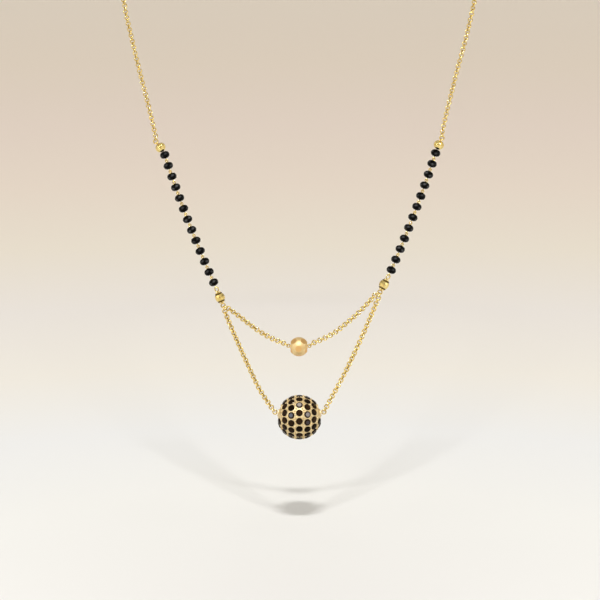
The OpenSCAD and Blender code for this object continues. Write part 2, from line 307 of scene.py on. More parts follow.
def new_sheet(name: str) -> tuple[bpy.types.Material, NodeSheet]:
    """Makes a material with an empty sheet of nodes.

    Args:
        name: the material's name.

    Returns:
        The material and its sheet.
    """
    material = bpy.data.materials.new(name)
    material.use_nodes = True
    return material, NodeSheet(material.node_tree)


@dataclass(frozen=True)
class Polish:
    """How a surface is polished.

    Attributes:
        smoothest: roughness of the best polished patches.
        roughest: roughness of the dullest patches.
        patch_mm: size of these patches.
        relief_mm: height of the polishing marks.
        relief: strength of the marks in the shading.
    """

    smoothest: float
    roughest: float
    patch_mm: float = 0.5
    relief_mm: float = 0.01
    relief: float = 0.25

    def lay(self, sheet: NodeSheet, effects: SharedEffects, place: Any) -> tuple[Any, Any]:
        """Lays the polish on a material.

        Args:
            sheet: the material's sheet.
            effects: the shared node groups.
            place: the output that gives the place.

        Returns:
            The outputs of the roughness and of the normal.
        """
        polish = sheet.add(
            "ShaderNodeGroup",
            {"node_tree": effects.polish},
            Vector=place,
            Scale=1.0 / (self.patch_mm * MM),
            Smoothest=self.smoothest,
            Roughest=self.roughest,
        )
        marks = sheet.add(
            "ShaderNodeBump",
            Strength=self.relief,
            Distance=self.relief_mm * MM,
            Height=polish.outputs["Height"],
        )
        return polish.outputs["Roughness"], marks.outputs["Normal"]


@dataclass(frozen=True)
class GoldFinish:
    """Yellow gold, from mirror polish to satin.

    Attributes:
        name: the material's name.
        slot: the record's material slot; not used.
        light: colour where the metal is cleanest.
        deep: colour where handling has deepened it.
        polish: how it is polished.
        worked: name of the mark that carries painted shade in hollows, or a painted reflection in milled
            lenses.
        worked_tone: the painted shade or painted reflection colour there.
        worked_gloss: roughness there.
        drift: size of a patch of colour, in patches of polish.
    """

    name: str
    slot: str
    light: Colour = (0.95, 0.75, 0.29)
    deep: Colour = (0.86, 0.63, 0.19)
    polish: Polish = Polish(0.10, 0.24)
    # Painted shade: by default the hollows of links, eyes and rings, the furrows and the cut balls get a
    # dark tone
    worked: str = PAINTED_SHADE_NAME
    worked_tone: Colour = (0.22, 0.14, 0.03)
    worked_gloss: float = 0.35
    drift: float = 2.5

    def material(self, effects: SharedEffects) -> bpy.types.Material:
        """Builds the material.

        Args:
            effects: the shared node groups.

        Returns:
            The finished material.
        """
        material, sheet = new_sheet(self.name)
        place = sheet.add("ShaderNodeTexCoord").outputs["Object"]
        roughness, normal = self.polish.lay(sheet, effects, place)
        tone = sheet.add(
            "ShaderNodeGroup",
            {"node_tree": effects.drift},
            Vector=place,
            Scale=1.0 / (self.drift * self.polish.patch_mm * MM),
            Light=self.light,
            Deep=self.deep,
        )
        # Painted shade in marked hollows, or painted reflection in marked lenses, over the metal's own
        # tone
        worked = sheet.add("ShaderNodeAttribute", {"attribute_name": self.worked}).outputs["Fac"]
        sheet.surface(
            Base_Color=sheet.mix("RGBA", worked, tone.outputs["Color"], self.worked_tone),
            Metallic=1.0,
            Roughness=sheet.mix("FLOAT", worked, roughness, self.worked_gloss),
            Normal=normal,
        )
        return material


@dataclass(frozen=True)
class BlackStoneFinish:
    """Polished black stone whose depth shows a trace of colour.

    Attributes:
        name: the material's name.
        slot: the record's material slot; not used.
        tones: colours from the darkest stone to the lightest, picked by each stone's own shade; the
            lighter ones are painted glints and painted reflections.
        polish: how it is polished.
        index: refractive index.
        sheen: strength of what it mirrors.
        tint: colour that its surroundings give to what it mirrors.
    """

    name: str
    slot: str
    tones: tuple[tuple[float, Colour], ...]
    polish: Polish
    index: float
    sheen: float
    tint: Colour = (1.0, 1.0, 1.0)

    def material(self, effects: SharedEffects) -> bpy.types.Material:
        """Builds the material.

        Args:
            effects: the shared node groups.

        Returns:
            The finished material.
        """
        material, sheet = new_sheet(self.name)
        place = sheet.add("ShaderNodeTexCoord").outputs["Object"]
        roughness, normal = self.polish.lay(sheet, effects, place)
        shade = sheet.add("ShaderNodeAttribute", {"attribute_name": TONE_AND_GLINT_NAME}).outputs["Fac"]
        sheet.surface(
            Base_Color=sheet.ramp(shade, self.tones),
            Roughness=roughness,
            IOR=self.index,
            Specular_IOR_Level=self.sheen,
            Specular_Tint=self.tint,
            Normal=normal,
        )
        return material


@dataclass(frozen=True)
class PaperFinish:
    """Matt studio floor, near white under the necklace and warmer far from it.

    Attributes:
        name: the material's name.
        rings: colours by distance from the middle, as shares of reach_mm.
        reach_mm: distance at which the last colour is reached.
        centre_mm: the middle on the floor.
        grains: grains of the paper's tooth to a metre.
        tooth_mm: height of the tooth.
        tooth: strength of the tooth in the shading.
        roughness: roughness of the paper.
        sheen: strength of what it mirrors.
    """

    name: str
    rings: tuple[tuple[float, Colour], ...]
    reach_mm: float
    centre_mm: tuple[float, float, float]
    grains: float = 900.0
    tooth_mm: float = 0.05
    tooth: float = 0.08
    roughness: float = 0.85
    sheen: float = 0.1

    def material(self) -> bpy.types.Material:
        """Builds the material.

        Returns:
            The finished material.
        """
        material, sheet = new_sheet(self.name)
        place = sheet.add("ShaderNodeTexCoord").outputs["Object"]
        share = 1.0 / (self.reach_mm * MM)
        centred = sheet.add(
            "ShaderNodeMapping",
            {"vector_type": "POINT"},
            Vector=place,
            Location=tuple(-c * MM * share for c in self.centre_mm),
            Scale=(share, share, 0.0),
        )
        far = sheet.add(
            "ShaderNodeVectorMath", {"operation": "LENGTH"}, Vector=centred.outputs["Vector"]
        )
        relief = sheet.add(
            "ShaderNodeBump",
            Strength=self.tooth,
            Distance=self.tooth_mm * MM,
            Height=sheet.noise(place, self.grains, detail=4.0),
        )
        sheet.surface(
            Base_Color=sheet.ramp(far.outputs["Value"], self.rings),
            Roughness=self.roughness,
            Specular_IOR_Level=self.sheen,
            Normal=relief.outputs["Normal"],
        )
        return material


CHAIN_GOLD = GoldFinish("chain_gold", "gold_chain")
CUT_GOLD = GoldFinish(
    "cut_gold",
    "gold_cut",
    light=(0.95, 0.77, 0.33),
    deep=(0.84, 0.63, 0.21),
    polish=Polish(0.08, 0.18, relief=0.12),
    # Painted shade in the furrows of the fluted beads and on the ends and necks of the cut balls
    worked_tone=(0.12, 0.075, 0.02),
)
SATIN_GOLD = GoldFinish(
    "satin_gold",
    "gold_satin",
    light=(0.85, 0.67, 0.37),
    deep=(0.77, 0.55, 0.25),
    polish=Polish(0.50, 0.62, patch_mm=0.45, relief=0.4),
    # Painted reflection: the milled lenses are coloured deeper orange
    worked=LENS_NAME,
    worked_tone=(0.80, 0.50, 0.20),
    worked_gloss=0.50,
)
GRAINED_GOLD = GoldFinish(
    "grained_gold",
    "gold_grained",
    light=(0.88, 0.75, 0.48),
    deep=(0.73, 0.56, 0.30),
    polish=Polish(0.42, 0.60, patch_mm=0.25, relief_mm=0.03, relief=0.6),
)
RONDELLE_BLACK = BlackStoneFinish(
    "rondelle_black",
    "black_beads",
    # Painted glints: the lighter tone marks grey corners on each bead's girdle
    tones=((0.0, (0.0006, 0.0006, 0.0007)), (1.0, (0.095, 0.098, 0.102))),
    polish=Polish(0.04, 0.10, patch_mm=0.6, relief_mm=0.004, relief=0.12),
    index=1.4,
    sheen=0.09,
)
SET_BLACK = BlackStoneFinish(
    "set_stone_black",
    "black_stones",
    # Up to 0.6 a random dark brown tone of each stone; above it painted reflections on the tables of a
    # few stones near the viewer
    tones=(
        (0.0, (0.003, 0.0015, 0.0005)),
        (0.6, (0.026, 0.012, 0.005)),
        (0.8, (0.10, 0.11, 0.14)),
        (1.0, (0.30, 0.26, 0.24)),
    ),
    polish=Polish(0.03, 0.12, patch_mm=0.6, relief_mm=0.004, relief=0.12),
    index=1.45,
    sheen=0.11,
    tint=(1.0, 0.8, 0.55),
)

Finish = GoldFinish | BlackStoneFinish


# Pieces


def add_object(name: str, data: bpy.types.ID) -> bpy.types.Object:
    """Adds an object to the scene.

    Args:
        name: the object's name.
        data: its mesh, lamp or camera.

    Returns:
        The object.
    """
    thing = bpy.data.objects.new(name, data)
    bpy.context.scene.collection.objects.link(thing)
    return thing


def mesh_object(name: str, shape: Shape, material: bpy.types.Material) -> bpy.types.Object:
    """Makes an object of a shape in metres.

    Args:
        name: the object's name.
        shape: the shape; it is freed here.
        material: its material.

    Returns:
        The object.
    """
    mesh = bpy.data.meshes.new(name)
    shape.to_mesh(mesh)
    shape.free()
    mesh.materials.append(material)
    return add_object(name, mesh)


class Atelier:
    """Turns shapes into finished pieces that ride on the necklace."""

    def __init__(self, effects: SharedEffects) -> None:
        """Builds the materials from the shared node groups."""
        finishes = (CHAIN_GOLD, CUT_GOLD, SATIN_GOLD, GRAINED_GOLD, RONDELLE_BLACK, SET_BLACK)
        self.materials = {finish: finish.material(effects) for finish in finishes}

    def piece(
        self, name: str, shape: Shape, finish: Finish, *nodes: str, smooth: bool = True
    ) -> bpy.types.Object:
        """Makes a piece of the necklace from a shape in millimetres.

        Args:
            name: the piece's name.
            shape: the shape; it is freed here.
            finish: the piece's finish.
            *nodes: the CAD nodes that the piece stands for.
            smooth: whether the faces are shaded smooth.

        Returns:
            The piece.
        """
        for face in moved(shape, Matrix.Scale(MM, 4)).faces:
            face.smooth = smooth
        piece = mesh_object(name, shape, self.materials[finish])
        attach(piece, BODY)
        if nodes:
            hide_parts(*nodes)
        piece.data.calc_loop_triangles()
        count = len(piece.data.loop_triangles)
        LOG.info("%s: %d triangles, for %s", name, count, ", ".join(nodes) or "detail")
        return piece

    def dress(self, node: bpy.types.Object, finish: Finish) -> None:
        """Gives a CAD node its finish.

        Args:
            node: the node's object.
            finish: the finish for all of it.
        """
        node.data.materials.clear()
        node.data.materials.append(self.materials[finish])
        LOG.info("%s: dressed in %s", node.name, finish.name)


# Layout


class Side(Enum):
    """The two halves of the necklace, by their place in the front view."""

    LEFT = 0
    RIGHT = 1

    @property
    def turned(self) -> int:
        """-1 on the left and 1 on the right."""
        return 2 * self.value - 1

    @property
    def label(self) -> str:
        """The half's name in node and piece names."""
        return self.name.lower()

    def lean(self, angles: Pair) -> float:
        """This half's own one of two outward angles, counted to the right."""
        return self.turned * angles[self.value]


def heading(degrees: float) -> Vector:
    """Direction in the front's plane at an angle from straight up, to the right."""
    return Vector((math.sin(math.radians(degrees)), math.cos(math.radians(degrees))))


def rotation(degrees: float, axis: str) -> Matrix:
    """A turn about one of a shape's own axes."""
    return Matrix.Rotation(math.radians(degrees), 4, axis)


def up(height: float) -> Matrix:
    """A move along a shape's own +Z."""
    return Matrix.Translation((0.0, 0.0, height))


FLAT = rotation(90, "X")
ACROSS = rotation(90, "Y")


@dataclass(frozen=True)
class Front:
    """The leaning plane in which the front of the necklace hangs.

    Attributes:
        tilt: lean from the vertical, in degrees.
        drop: depth of the large ball's centre below the nape.
        reach: distance of that centre in front of the nape.
    """

    tilt: float = 20.0
    drop: float = 121.0
    reach: float = 110.0

    def point(self, at: Sequence[float]) -> Vector:
        """Place of a point of the plane in the necklace's frame."""
        along = heading(self.tilt)
        return Vector((at[0], at[1] * along.x - self.reach, at[1] * along.y - self.drop))

    def stand(self, at: Sequence[float], lean: float = 0.0) -> Matrix:
        """Stands a shape on the plane, its own +Z leaning to the right by an angle in degrees."""
        place = Matrix.Translation(self.point(at))
        return place @ rotation(-self.tilt, "X") @ rotation(lean, "Y")

    @property
    def normal(self) -> Vector:
        """Direction out of the plane, away from the viewer."""
        along = heading(self.tilt)
        return Vector((0.0, along.y, -along.x))


@dataclass(frozen=True)
class Layout:
    """Where the strings, rings and balls hang, as in the CAD frame.

    Points lie right and up from the large ball's centre on the front's plane. Leans are degrees
    outwards from upright. Pairs give the left half first.

    Attributes:
        front: the plane of the front.
        foot: centre of the lowest black bead.
        counts: number of black beads.
        low_lean: lean of the lowest bead.
        high_lean: lean of the highest bead.
        top_pin_lean: lean of the highest bead's pin above its bend.
        junction_lean: lean of the cut ball.
        pitch: distance between two black beads.
        eye_at: distance of an eye from its bead's centre.
        bend_at: height of the bend on the highest bead's pin, from the bead's centre.
        end_bead_at: height of the fluted bead on that pin.
        top_eye_at: height of the eye at its top.
        end_ring_at: height of the jump ring hooked in that eye.
        loop_at: height of the long loop's centre above the cut ball's.
        loop_hook: height of the eye that is hooked in it.
        fork_at: depth of the ring below the cut ball's centre.
        ball_top: half length of the cut ball with its collars.
        swag_ball_at: centre of the lensed ball.
        swag_bend_at: distance from there to where its pin leaves the bore.
        swag_eye_reach: distance from there to the eye's centre.
        swag_eye_lift: how far the pull of the swag lifts the eye, in degrees.
    """

    front: Front = Front()
    foot: tuple[Vector, Vector] = (Vector((-18.0, 28.3)), Vector((19.3, 30.9)))
    counts: tuple[int, int] = (13, 12)
    low_lean: Pair = (24.0, 23.5)
    high_lean: Pair = (18.0, 18.0)
    top_pin_lean: Pair = (38.0, 24.0)
    junction_lean: Pair = (22.0, 28.0)
    pitch: float = 2.39
    eye_at: float = 1.065
    bend_at: float = 0.765
    end_bead_at: float = 1.825
    top_eye_at: float = 3.0
    end_ring_at: float = 3.45
    loop_at: float = 1.85
    loop_hook: float = 2.37
    fork_at: float = 1.82
    ball_top: float = 1.21
    swag_ball_at: Vector = Vector((-0.1, 14.8))
    swag_bend_at: float = 1.82
    swag_eye_reach: float = 0.45
    swag_eye_lift: float = 25.0

    def lean(self, side: Side, i: float) -> float:
        """Lean of a string at bead i, counted from its foot."""
        low, high = side.lean(self.low_lean), side.lean(self.high_lean)
        return low + (high - low) * i / (self.counts[side.value] - 1)

    def bead_at(self, side: Side, i: int) -> Vector:
        """Finds a black bead on the front's plane.

        Args:
            side: the half.
            i: the bead's number, from 0 at the foot.

        Returns:
            The bead's centre.
        """
        at = self.foot[side.value].copy()
        for k in range(i):
            at += self.pitch * heading(self.lean(side, k + 0.5))
        return at

    def bead_stand(self, side: Side, i: int) -> Matrix:
        """Stands a shape at black bead i."""
        return self.front.stand(self.bead_at(side, i), self.lean(side, i))

    def on_top_pin(self, side: Side, height: float) -> Vector:
        """Finds a point on the bent pin of the highest black bead.

        Args:
            side: the half.
            height: height above the bead's centre, from the bend up.

        Returns:
            The point on the front's plane.
        """
        last = self.counts[side.value] - 1
        bend = self.bead_at(side, last) + self.bend_at * heading(self.lean(side, last))
        return bend + (height - self.bend_at) * heading(side.lean(self.top_pin_lean))

    def top_stand(self, side: Side, height: float) -> Matrix:
        """Stands a shape on that pin."""
        return self.front.stand(self.on_top_pin(side, height), side.lean(self.top_pin_lean))

    def junction_at(self, side: Side) -> Vector:
        """Centre of the cut gold ball where a string divides."""
        loop = self.foot[side.value] - self.eye_at * heading(self.lean(side, 0))
        return loop - self.loop_hook * heading(side.lean(self.junction_lean))

    def junction_stand(self, side: Side) -> Matrix:
        """Stands a shape at that ball."""
        return self.front.stand(self.junction_at(side), side.lean(self.junction_lean))

    def fork(self, side: Side) -> Vector:
        """Centre of the ring below that ball."""
        return self.junction_at(side) - self.fork_at * heading(side.lean(self.junction_lean))

    def swag_bend(self, side: Side) -> Vector:
        """Where the pin of the lensed ball leaves its bore."""
        return self.swag_ball_at + Vector((side.turned * self.swag_bend_at, 0.0))

    def swag_eye_lean(self, side: Side) -> float:
        """Lean of the end of that pin."""
        return side.turned * (90 - self.swag_eye_lift)

    def swag_eye(self, side: Side) -> Vector:
        """Centre of the eye at the end of that pin."""
        return self.swag_bend(side) + self.swag_eye_reach * heading(self.swag_eye_lean(side))


class Run:
    """A smooth curve through points, measured along its length."""

    def __init__(self, points: Sequence[Vector], steps: int = 8) -> None:
        """Smooths the points.

        Args:
            points: where the curve passes, in millimetres.
            steps: number of flat steps between two points.
        """
        self.points = self._smoothed(points, steps)
        self.gone = [0.0]
        for a, b in zip(self.points, self.points[1:]):
            self.gone.append(self.gone[-1] + (b - a).length)

    @staticmethod
    def _smoothed(points: Sequence[Vector], steps: int) -> list[Vector]:
        """Lays a Catmull-Rom curve through points.

        Args:
            points: where the curve passes.
            steps: number of flat steps between two points.

        Returns:
            The points of the curve.
        """
        ends = [2 * points[0] - points[1], *points, 2 * points[-1] - points[-2]]
        curve = []
        for a, b, c, d in zip(ends, ends[1:], ends[2:], ends[3:]):
            for t in (k / steps for k in range(steps)):
                square = (2 * a - 5 * b + 4 * c - d) * t**2
                cube = (3 * b - a - 3 * c + d) * t**3
                curve.append((2 * b + (c - a) * t + square + cube) / 2)
        return [*curve, points[-1].copy()]

    @property
    def length(self) -> float:
        """Length of the whole curve."""
        return self.gone[-1]

    def place(self, distance: float) -> Vector:
        """Finds the point at a distance along the curve.

        Args:
            distance: the distance; past an end it means that end.

        Returns:
            The point.
        """
        distance = min(max(distance, 0.0), self.length)
        i = max(k for k, gone in enumerate(self.gone[:-1]) if gone <= distance)
        share = (distance - self.gone[i]) / (self.gone[i + 1] - self.gone[i])
        return self.points[i].lerp(self.points[i + 1], share)

    def way(self, distance: float, reach: float) -> Vector:
        """Direction of the curve, taken over a reach on both sides of a distance."""
        return (self.place(distance + reach) - self.place(distance - reach)).normalized()


# Shapes

# Numbers of faces round a ring, its wire, a pin and a collar
RING_STEPS = 24
WIRE_SIDES = 10
PIN_SIDES = 12
COLLAR_STEPS = 28

# How far a collar's rims are rounded, as a share of its length
COLLAR_ROUNDING = 0.2

# Angles in degrees: an edge is sharp above the first, two faces are one facet below the second
SHARP_EDGE = 60.0
SAME_FACET = 1.0


def moved(shape: Shape, place: Matrix) -> Shape:
    """Moves a whole shape, and gives it back."""
    bmesh.ops.transform(shape, matrix=place, verts=shape.verts)
    return shape


def full_spin(shape: Shape, outline: Sequence[Any], steps: int) -> None:
    """Spins an outline once round +Z.

    Args:
        shape: the shape that holds the outline.
        outline: its corners and edges.
        steps: number of faces round the axis.
    """
    bmesh.ops.spin(
        shape,
        geom=outline,
        axis=(0, 0, 1),
        cent=(0, 0, 0),
        angle=2 * math.pi,
        steps=steps,
        use_merge=True,
    )
    bmesh.ops.recalc_face_normals(shape, faces=shape.faces)


def mark(shape: Shape, name: str, share: Callable[[Vector], float]) -> None:
    """Writes a share from 0 to 1 on each corner of a shape.

    Args:
        shape: the shape.
        name: the name of the mark.
        share: gives the share at a place.
    """
    layer = shape.verts.layers.float.get(name) or shape.verts.layers.float.new(name)
    for vert in shape.verts:
        vert[layer] = min(max(share(vert.co), 0.0), 1.0)


def ring_shape(
    outer: float,
    wire: float,
    around: int = RING_STEPS,
    section: int = WIRE_SIDES,
    depth: float = 1.3,
) -> Shape:
    """A round ring about +Z, marked with painted shade where its wire faces its middle.

    Args:
        outer: outer diameter.
        wire: diameter of the wire.
        around: number of faces round the ring.
        section: number of faces round the wire.
        depth: share of painted shade at the innermost line of the wire; past 1 it widens the shaded
            band.

    Returns:
        The ring.
    """
    shape = bmesh.new()
    middle = (outer - wire) / 2
    stand = Matrix.Translation((middle, 0, 0)) @ FLAT
    bmesh.ops.create_circle(shape, segments=section, radius=wire / 2, matrix=stand)
    full_spin(shape, [*shape.verts, *shape.edges], around)
    # Painted shade on the inner side of the wire, darkest at its innermost line
    mark(shape, PAINTED_SHADE_NAME, lambda at: depth * (middle - math.hypot(at.x, at.y)) / (wire / 2))
    return shape


def loop_shape(width: float, length: float, wire: float) -> Shape:
    """A ring of wire drawn out to a length, in the plane of X and Z.

    Args:
        width: outer width.
        length: outer length along Z.
        wire: diameter of the wire.

    Returns:
        The loop.
    """
    shape = moved(ring_shape(width, wire), FLAT @ rotation(180 / RING_STEPS, "Z"))
    for vert in shape.verts:
        vert.co.z += math.copysign((length - width) / 2, vert.co.z)
    return shape


def rod_shape(diameter: float, low: float, high: float) -> Shape:
    """A straight piece of wire along Z.

    Args:
        diameter: diameter of the wire.
        low: height of its lower end.
        high: height of its upper end.

    Returns:
        The piece of wire.
    """
    shape = bmesh.new()
    bmesh.ops.create_cone(
        shape,
        cap_ends=True,
        segments=PIN_SIDES,
        radius1=diameter / 2,
        radius2=diameter / 2,
        depth=high - low,
        matrix=up((low + high) / 2),
    )
    return shape


def collar_shape(diameter: float, length: float, bore: float, at: float) -> Shape:
    """A short tube about +Z with softened rims.

    Args:
        diameter: outer diameter.
        length: length along Z.
        bore: diameter of its hole.
        at: height of its middle.

    Returns:
        The collar.
    """
    shape = bmesh.new()
    low, high = at - length / 2, at + length / 2
    outline = [(bore / 2, low), (diameter / 2, low), (diameter / 2, high), (bore / 2, high)]
    corners = [shape.verts.new((r, 0.0, z)) for r, z in outline]
    edges = [shape.edges.new(ends) for ends in zip(corners, corners[1:] + corners[:1])]
    full_spin(shape, [*corners, *edges], COLLAR_STEPS)
    bmesh.ops.bevel(
        shape,
        geom=[e for e in shape.edges if e.calc_face_angle(0.0) > math.radians(SHARP_EDGE)],
        offset=length * COLLAR_ROUNDING,
        segments=2,
        profile=0.5,
        affect="EDGES",
        material=-1,
    )
    return shape


def placed_copies(shape: Shape, places: Iterable[Matrix]) -> Shape:
    """Copies one shape to many places.

    Args:
        shape: the shape; it is freed here.
        places: a matrix for each copy.

    Returns:
        All the copies in one shape.
    """
    master = bpy.data.meshes.new("master")
    shape.to_mesh(master)
    shape.free()
    everything = bmesh.new()
    for place in places:
        copy = master.copy()
        copy.transform(place)
        everything.from_mesh(copy)
        bpy.data.meshes.remove(copy)
    bpy.data.meshes.remove(master)
    return everything


def merged(*shapes: Shape) -> Shape:
    """Joins shapes.

    Args:
        *shapes: the shapes; they are freed here.

    Returns:
        One shape with all of them.
    """
    everything = bmesh.new()
    for shape in shapes:
        mesh = bpy.data.meshes.new("joined")
        shape.to_mesh(mesh)
        shape.free()
        everything.from_mesh(mesh)
        bpy.data.meshes.remove(mesh)
    return everything


@dataclass(frozen=True)
class FacetCut:
    """A stone, bead or ball cut in rows of facets.

    Attributes:
        rows: for each ring of corners, from the top down, its share of the radius, its share of
            the half length, its turn in steps and its number of corners.
    """

    rows: tuple[tuple[float, float, float, int], ...]

    def shape(self, diameter: float, length: float, bore: float = 0.0) -> Shape:
        """Cuts the shape about +Z.

        Args:
            diameter: greatest diameter.
            length: length between the two ends.
            bore: diameter of the hole along the axis, or 0 for none.

        Returns:
            The cut shape.
        """
        shape = bmesh.new()
        for share, height, steps, corners in self.rows:
            stand = up(height * length / 2) @ rotation(360 * steps / corners, "Z")
            if corners == 1:
                bmesh.ops.create_vert(shape, co=stand.translation)
            else:
                radius = share * diameter / 2
                bmesh.ops.create_circle(shape, segments=corners, radius=radius, matrix=stand)
        bmesh.ops.convex_hull(shape, input=shape.verts)
        loose = [e for e in shape.edges if not e.link_faces]
        bmesh.ops.delete(shape, geom=loose, context="EDGES")
        bmesh.ops.dissolve_limit(
            shape, angle_limit=math.radians(SAME_FACET), verts=shape.verts, edges=shape.edges
        )
        if bore:
            self._drill(shape, bore / 2)
        bmesh.ops.recalc_face_normals(shape, faces=shape.faces)
        return shape

    def _drill(self, shape: Shape, radius: float) -> None:
        """Opens a hole between the two flat ends.

        Args:
            shape: the cut shape.
            radius: radius of the hole.
        """
        flat_end = math.cos(math.radians(SAME_FACET))
        ends = [f for f in shape.faces if abs(f.normal.z) > flat_end]
        for end in ends:
            flat = min((e.verts[0].co + e.verts[1].co).length / 2 for e in end.edges)
            level = end.calc_center_median().z
            apothem = math.sqrt(max(flat**2 - level**2, 0.0))
            bmesh.ops.inset_individual(shape, faces=[end], thickness=apothem - radius)
        rims = [e for end in ends for e in end.edges]
        bmesh.ops.delete(shape, geom=ends, context="FACES_ONLY")
        bmesh.ops.bridge_loops(shape, edges=rims)


RONDELLE_CUT = FacetCut(
    rows=(
        (0.44, 1.0, 0.0, 12),
        (0.82, 0.72, 0.5, 12),
        (1.0, 0.20, 0.0, 12),
        (1.0, -0.20, 0.0, 12),
        (0.82, -0.72, 0.5, 12),
        (0.44, -1.0, 0.0, 12),
    )
)
BALL_CUT = FacetCut(
    rows=(
        (0.58, 0.80, 0.0, 9),
        (0.88, 0.50, 0.5, 9),
        (1.0, 0.0, 0.0, 9),
        (0.88, -0.50, 0.5, 9),
        (0.58, -0.80, 0.0, 9),
    )
)
BRILLIANT_CUT = FacetCut(
    rows=(
        (0.56, 0.40, 0.0, 8),
        (0.80, 0.27, 0.5, 8),
        (1.0, 0.04, 0.0, 16),
        (1.0, -0.04, 0.0, 16),
        (0.0, -1.0, 0.0, 1),
    )
)


# Sub-assemblies


@dataclass
class Part:
    """A sub-assembly of the necklace.

    Attributes:
        atelier: where its pieces are finished.
        layout: where they hang.
    """

    atelier: Atelier
    layout: Layout

    def build(self) -> None:
        """Makes the sub-assembly's pieces."""
        raise NotImplementedError


# Chains


@dataclass
class LinkChain:
    """A run of round links, each hooked in the next.

    Attributes:
        name: the chain's name, such as swag.
        side: the half that it belongs to.
        run: the chain's centreline, from the first link's centre to the last one's.
        twist: shares of the run, and how far the chain is turned there from its first link
            across the front's plane and its second link flat in it, in degrees.
        last_flat: whether the last link is an even number of links from the second one.
        outer: outer diameter of a link.
        wire: diameter of the wire.
        pitch: distance between two links when the chain is straight.
        around: faces round a link.
        section: faces round the wire.
        slack: how far a link may turn from its lay, in degrees.
    """

    name: str
    side: Side
    run: Run
    twist: Route = ((0.0, 20.0), (1.0, 20.0))
    last_flat: bool = True
    outer: float = 1.12
    wire: float = 0.24
    pitch: float = 0.64
    around: int = 12
    section: int = 6
    slack: float = 9.0

    def turned(self, share: float) -> float:
        """Finds how far the chain is turned.

        Args:
            share: how far along the run, from 0 to 1.

        Returns:
            The turn in degrees.
        """
        for (low, before), (high, after) in zip(self.twist, self.twist[1:]):
            if share <= high:
                return before + (after - before) * (share - low) / (high - low)
        return self.twist[-1][1]

    def places(self, piece: str, normal: Vector) -> list[Matrix]:
        """Finds the place of each link, with its own +Z across its plane.

        Args:
            piece: the name that seeds the slack of the links.
            normal: direction across the run at its start.

        Returns:
            The places.
        """
        last = math.ceil(self.run.length / self.pitch)
        if last % 2 != self.last_flat:
            last += 1
        hand = random.Random(piece)
        across = normal.copy()
        found = []
        for i in range(last + 1):
            distance = self.run.length * i / last
            along = self.run.way(distance, self.outer / 2)
            across = (across - across.dot(along) * along).normalized()
            turn = 90.0 * (i % 2 == 0) + self.turned(i / last)
            turn = math.radians(turn + hand.uniform(-self.slack, self.slack))
            out = Matrix.Rotation(turn, 3, along) @ across
            basis = Matrix((along, out.cross(along), out)).transposed()
            found.append(Matrix.Translation(self.run.place(distance)) @ basis.to_4x4())
        return found

    def build(self, atelier: Atelier, normal: Vector) -> None:
        """Makes the chain.

        Args:
            atelier: where it is finished.
            normal: direction across the run at its start.
        """
        piece = f"{self.name}_links_{self.side.label}"
        link = ring_shape(self.outer, self.wire, self.around, self.section)
        chain = placed_copies(link, self.places(piece, normal))
        atelier.piece(piece, chain, CHAIN_GOLD, f"{self.name}_chain_{self.side.label}")


@dataclass
class NeckChains(Part):
    """The fine chain round the neck, in two halves that meet at the clasp.

    Attributes:
        front_route: points of each half on the front's plane.
        back_route: points of the right half behind it, in the necklace's frame.
        start: lean of the chain where it leaves the jump ring.
        hook: distance from the jump ring's centre to the first link's.
        clasp_ends: where the last link of each half hangs, to the right of the nape.
        lead: length of the straight start and end.
    """

    front_route: tuple[Route, Route] = (
        ((-31.4, 64.2), (-32.7, 69.3), (-34, 74.4), (-35.2, 79.5), (-36.4, 84.6), (-36.9, 87.6)),
        ((30.8, 63.5), (32, 68.3), (33.2, 73.1), (34.5, 77.8), (35.7, 82.6), (36.8, 87.6)),
    )
    back_route: tuple[tuple[float, float, float], ...] = (
        (39.3, -76, -28),
        (44, -66, -18),
        (50, -48, -10),
        (50, -28, -5),
        (40, -11, -2),
        (22, -2, 0),
    )
    start: Pair = (3.0, 4.0)
    hook: float = 0.64
    clasp_ends: Pair = (-3.83, 3.23)
    lead: float = 0.6

    def run(self, side: Side) -> Run:
        """Lays one half from the jump ring to the clasp.

        Args:
            side: the half.

        Returns:
            Its centreline.
        """
        front = self.layout.front
        ring = self.layout.on_top_pin(side, self.layout.end_ring_at)
        way = heading(side.lean(self.start))
        end = Vector((self.clasp_ends[side.value], 0.0, 0.0))
        points = [
            front.point(ring + self.hook * way),
            front.point(ring + (self.hook + self.lead) * way),
            *(front.point(p) for p in self.front_route[side.value]),
            *(Vector((side.turned * x, y, z)) for x, y, z in self.back_route),
            end + Vector((side.turned * self.lead, 0.0, 0.0)),
            end,
        ]
        return Run(points)

    def build(self) -> None:
        """Makes both halves."""
        for side in Side:
            LinkChain("neck", side, self.run(side)).build(self.atelier, self.layout.front.normal)


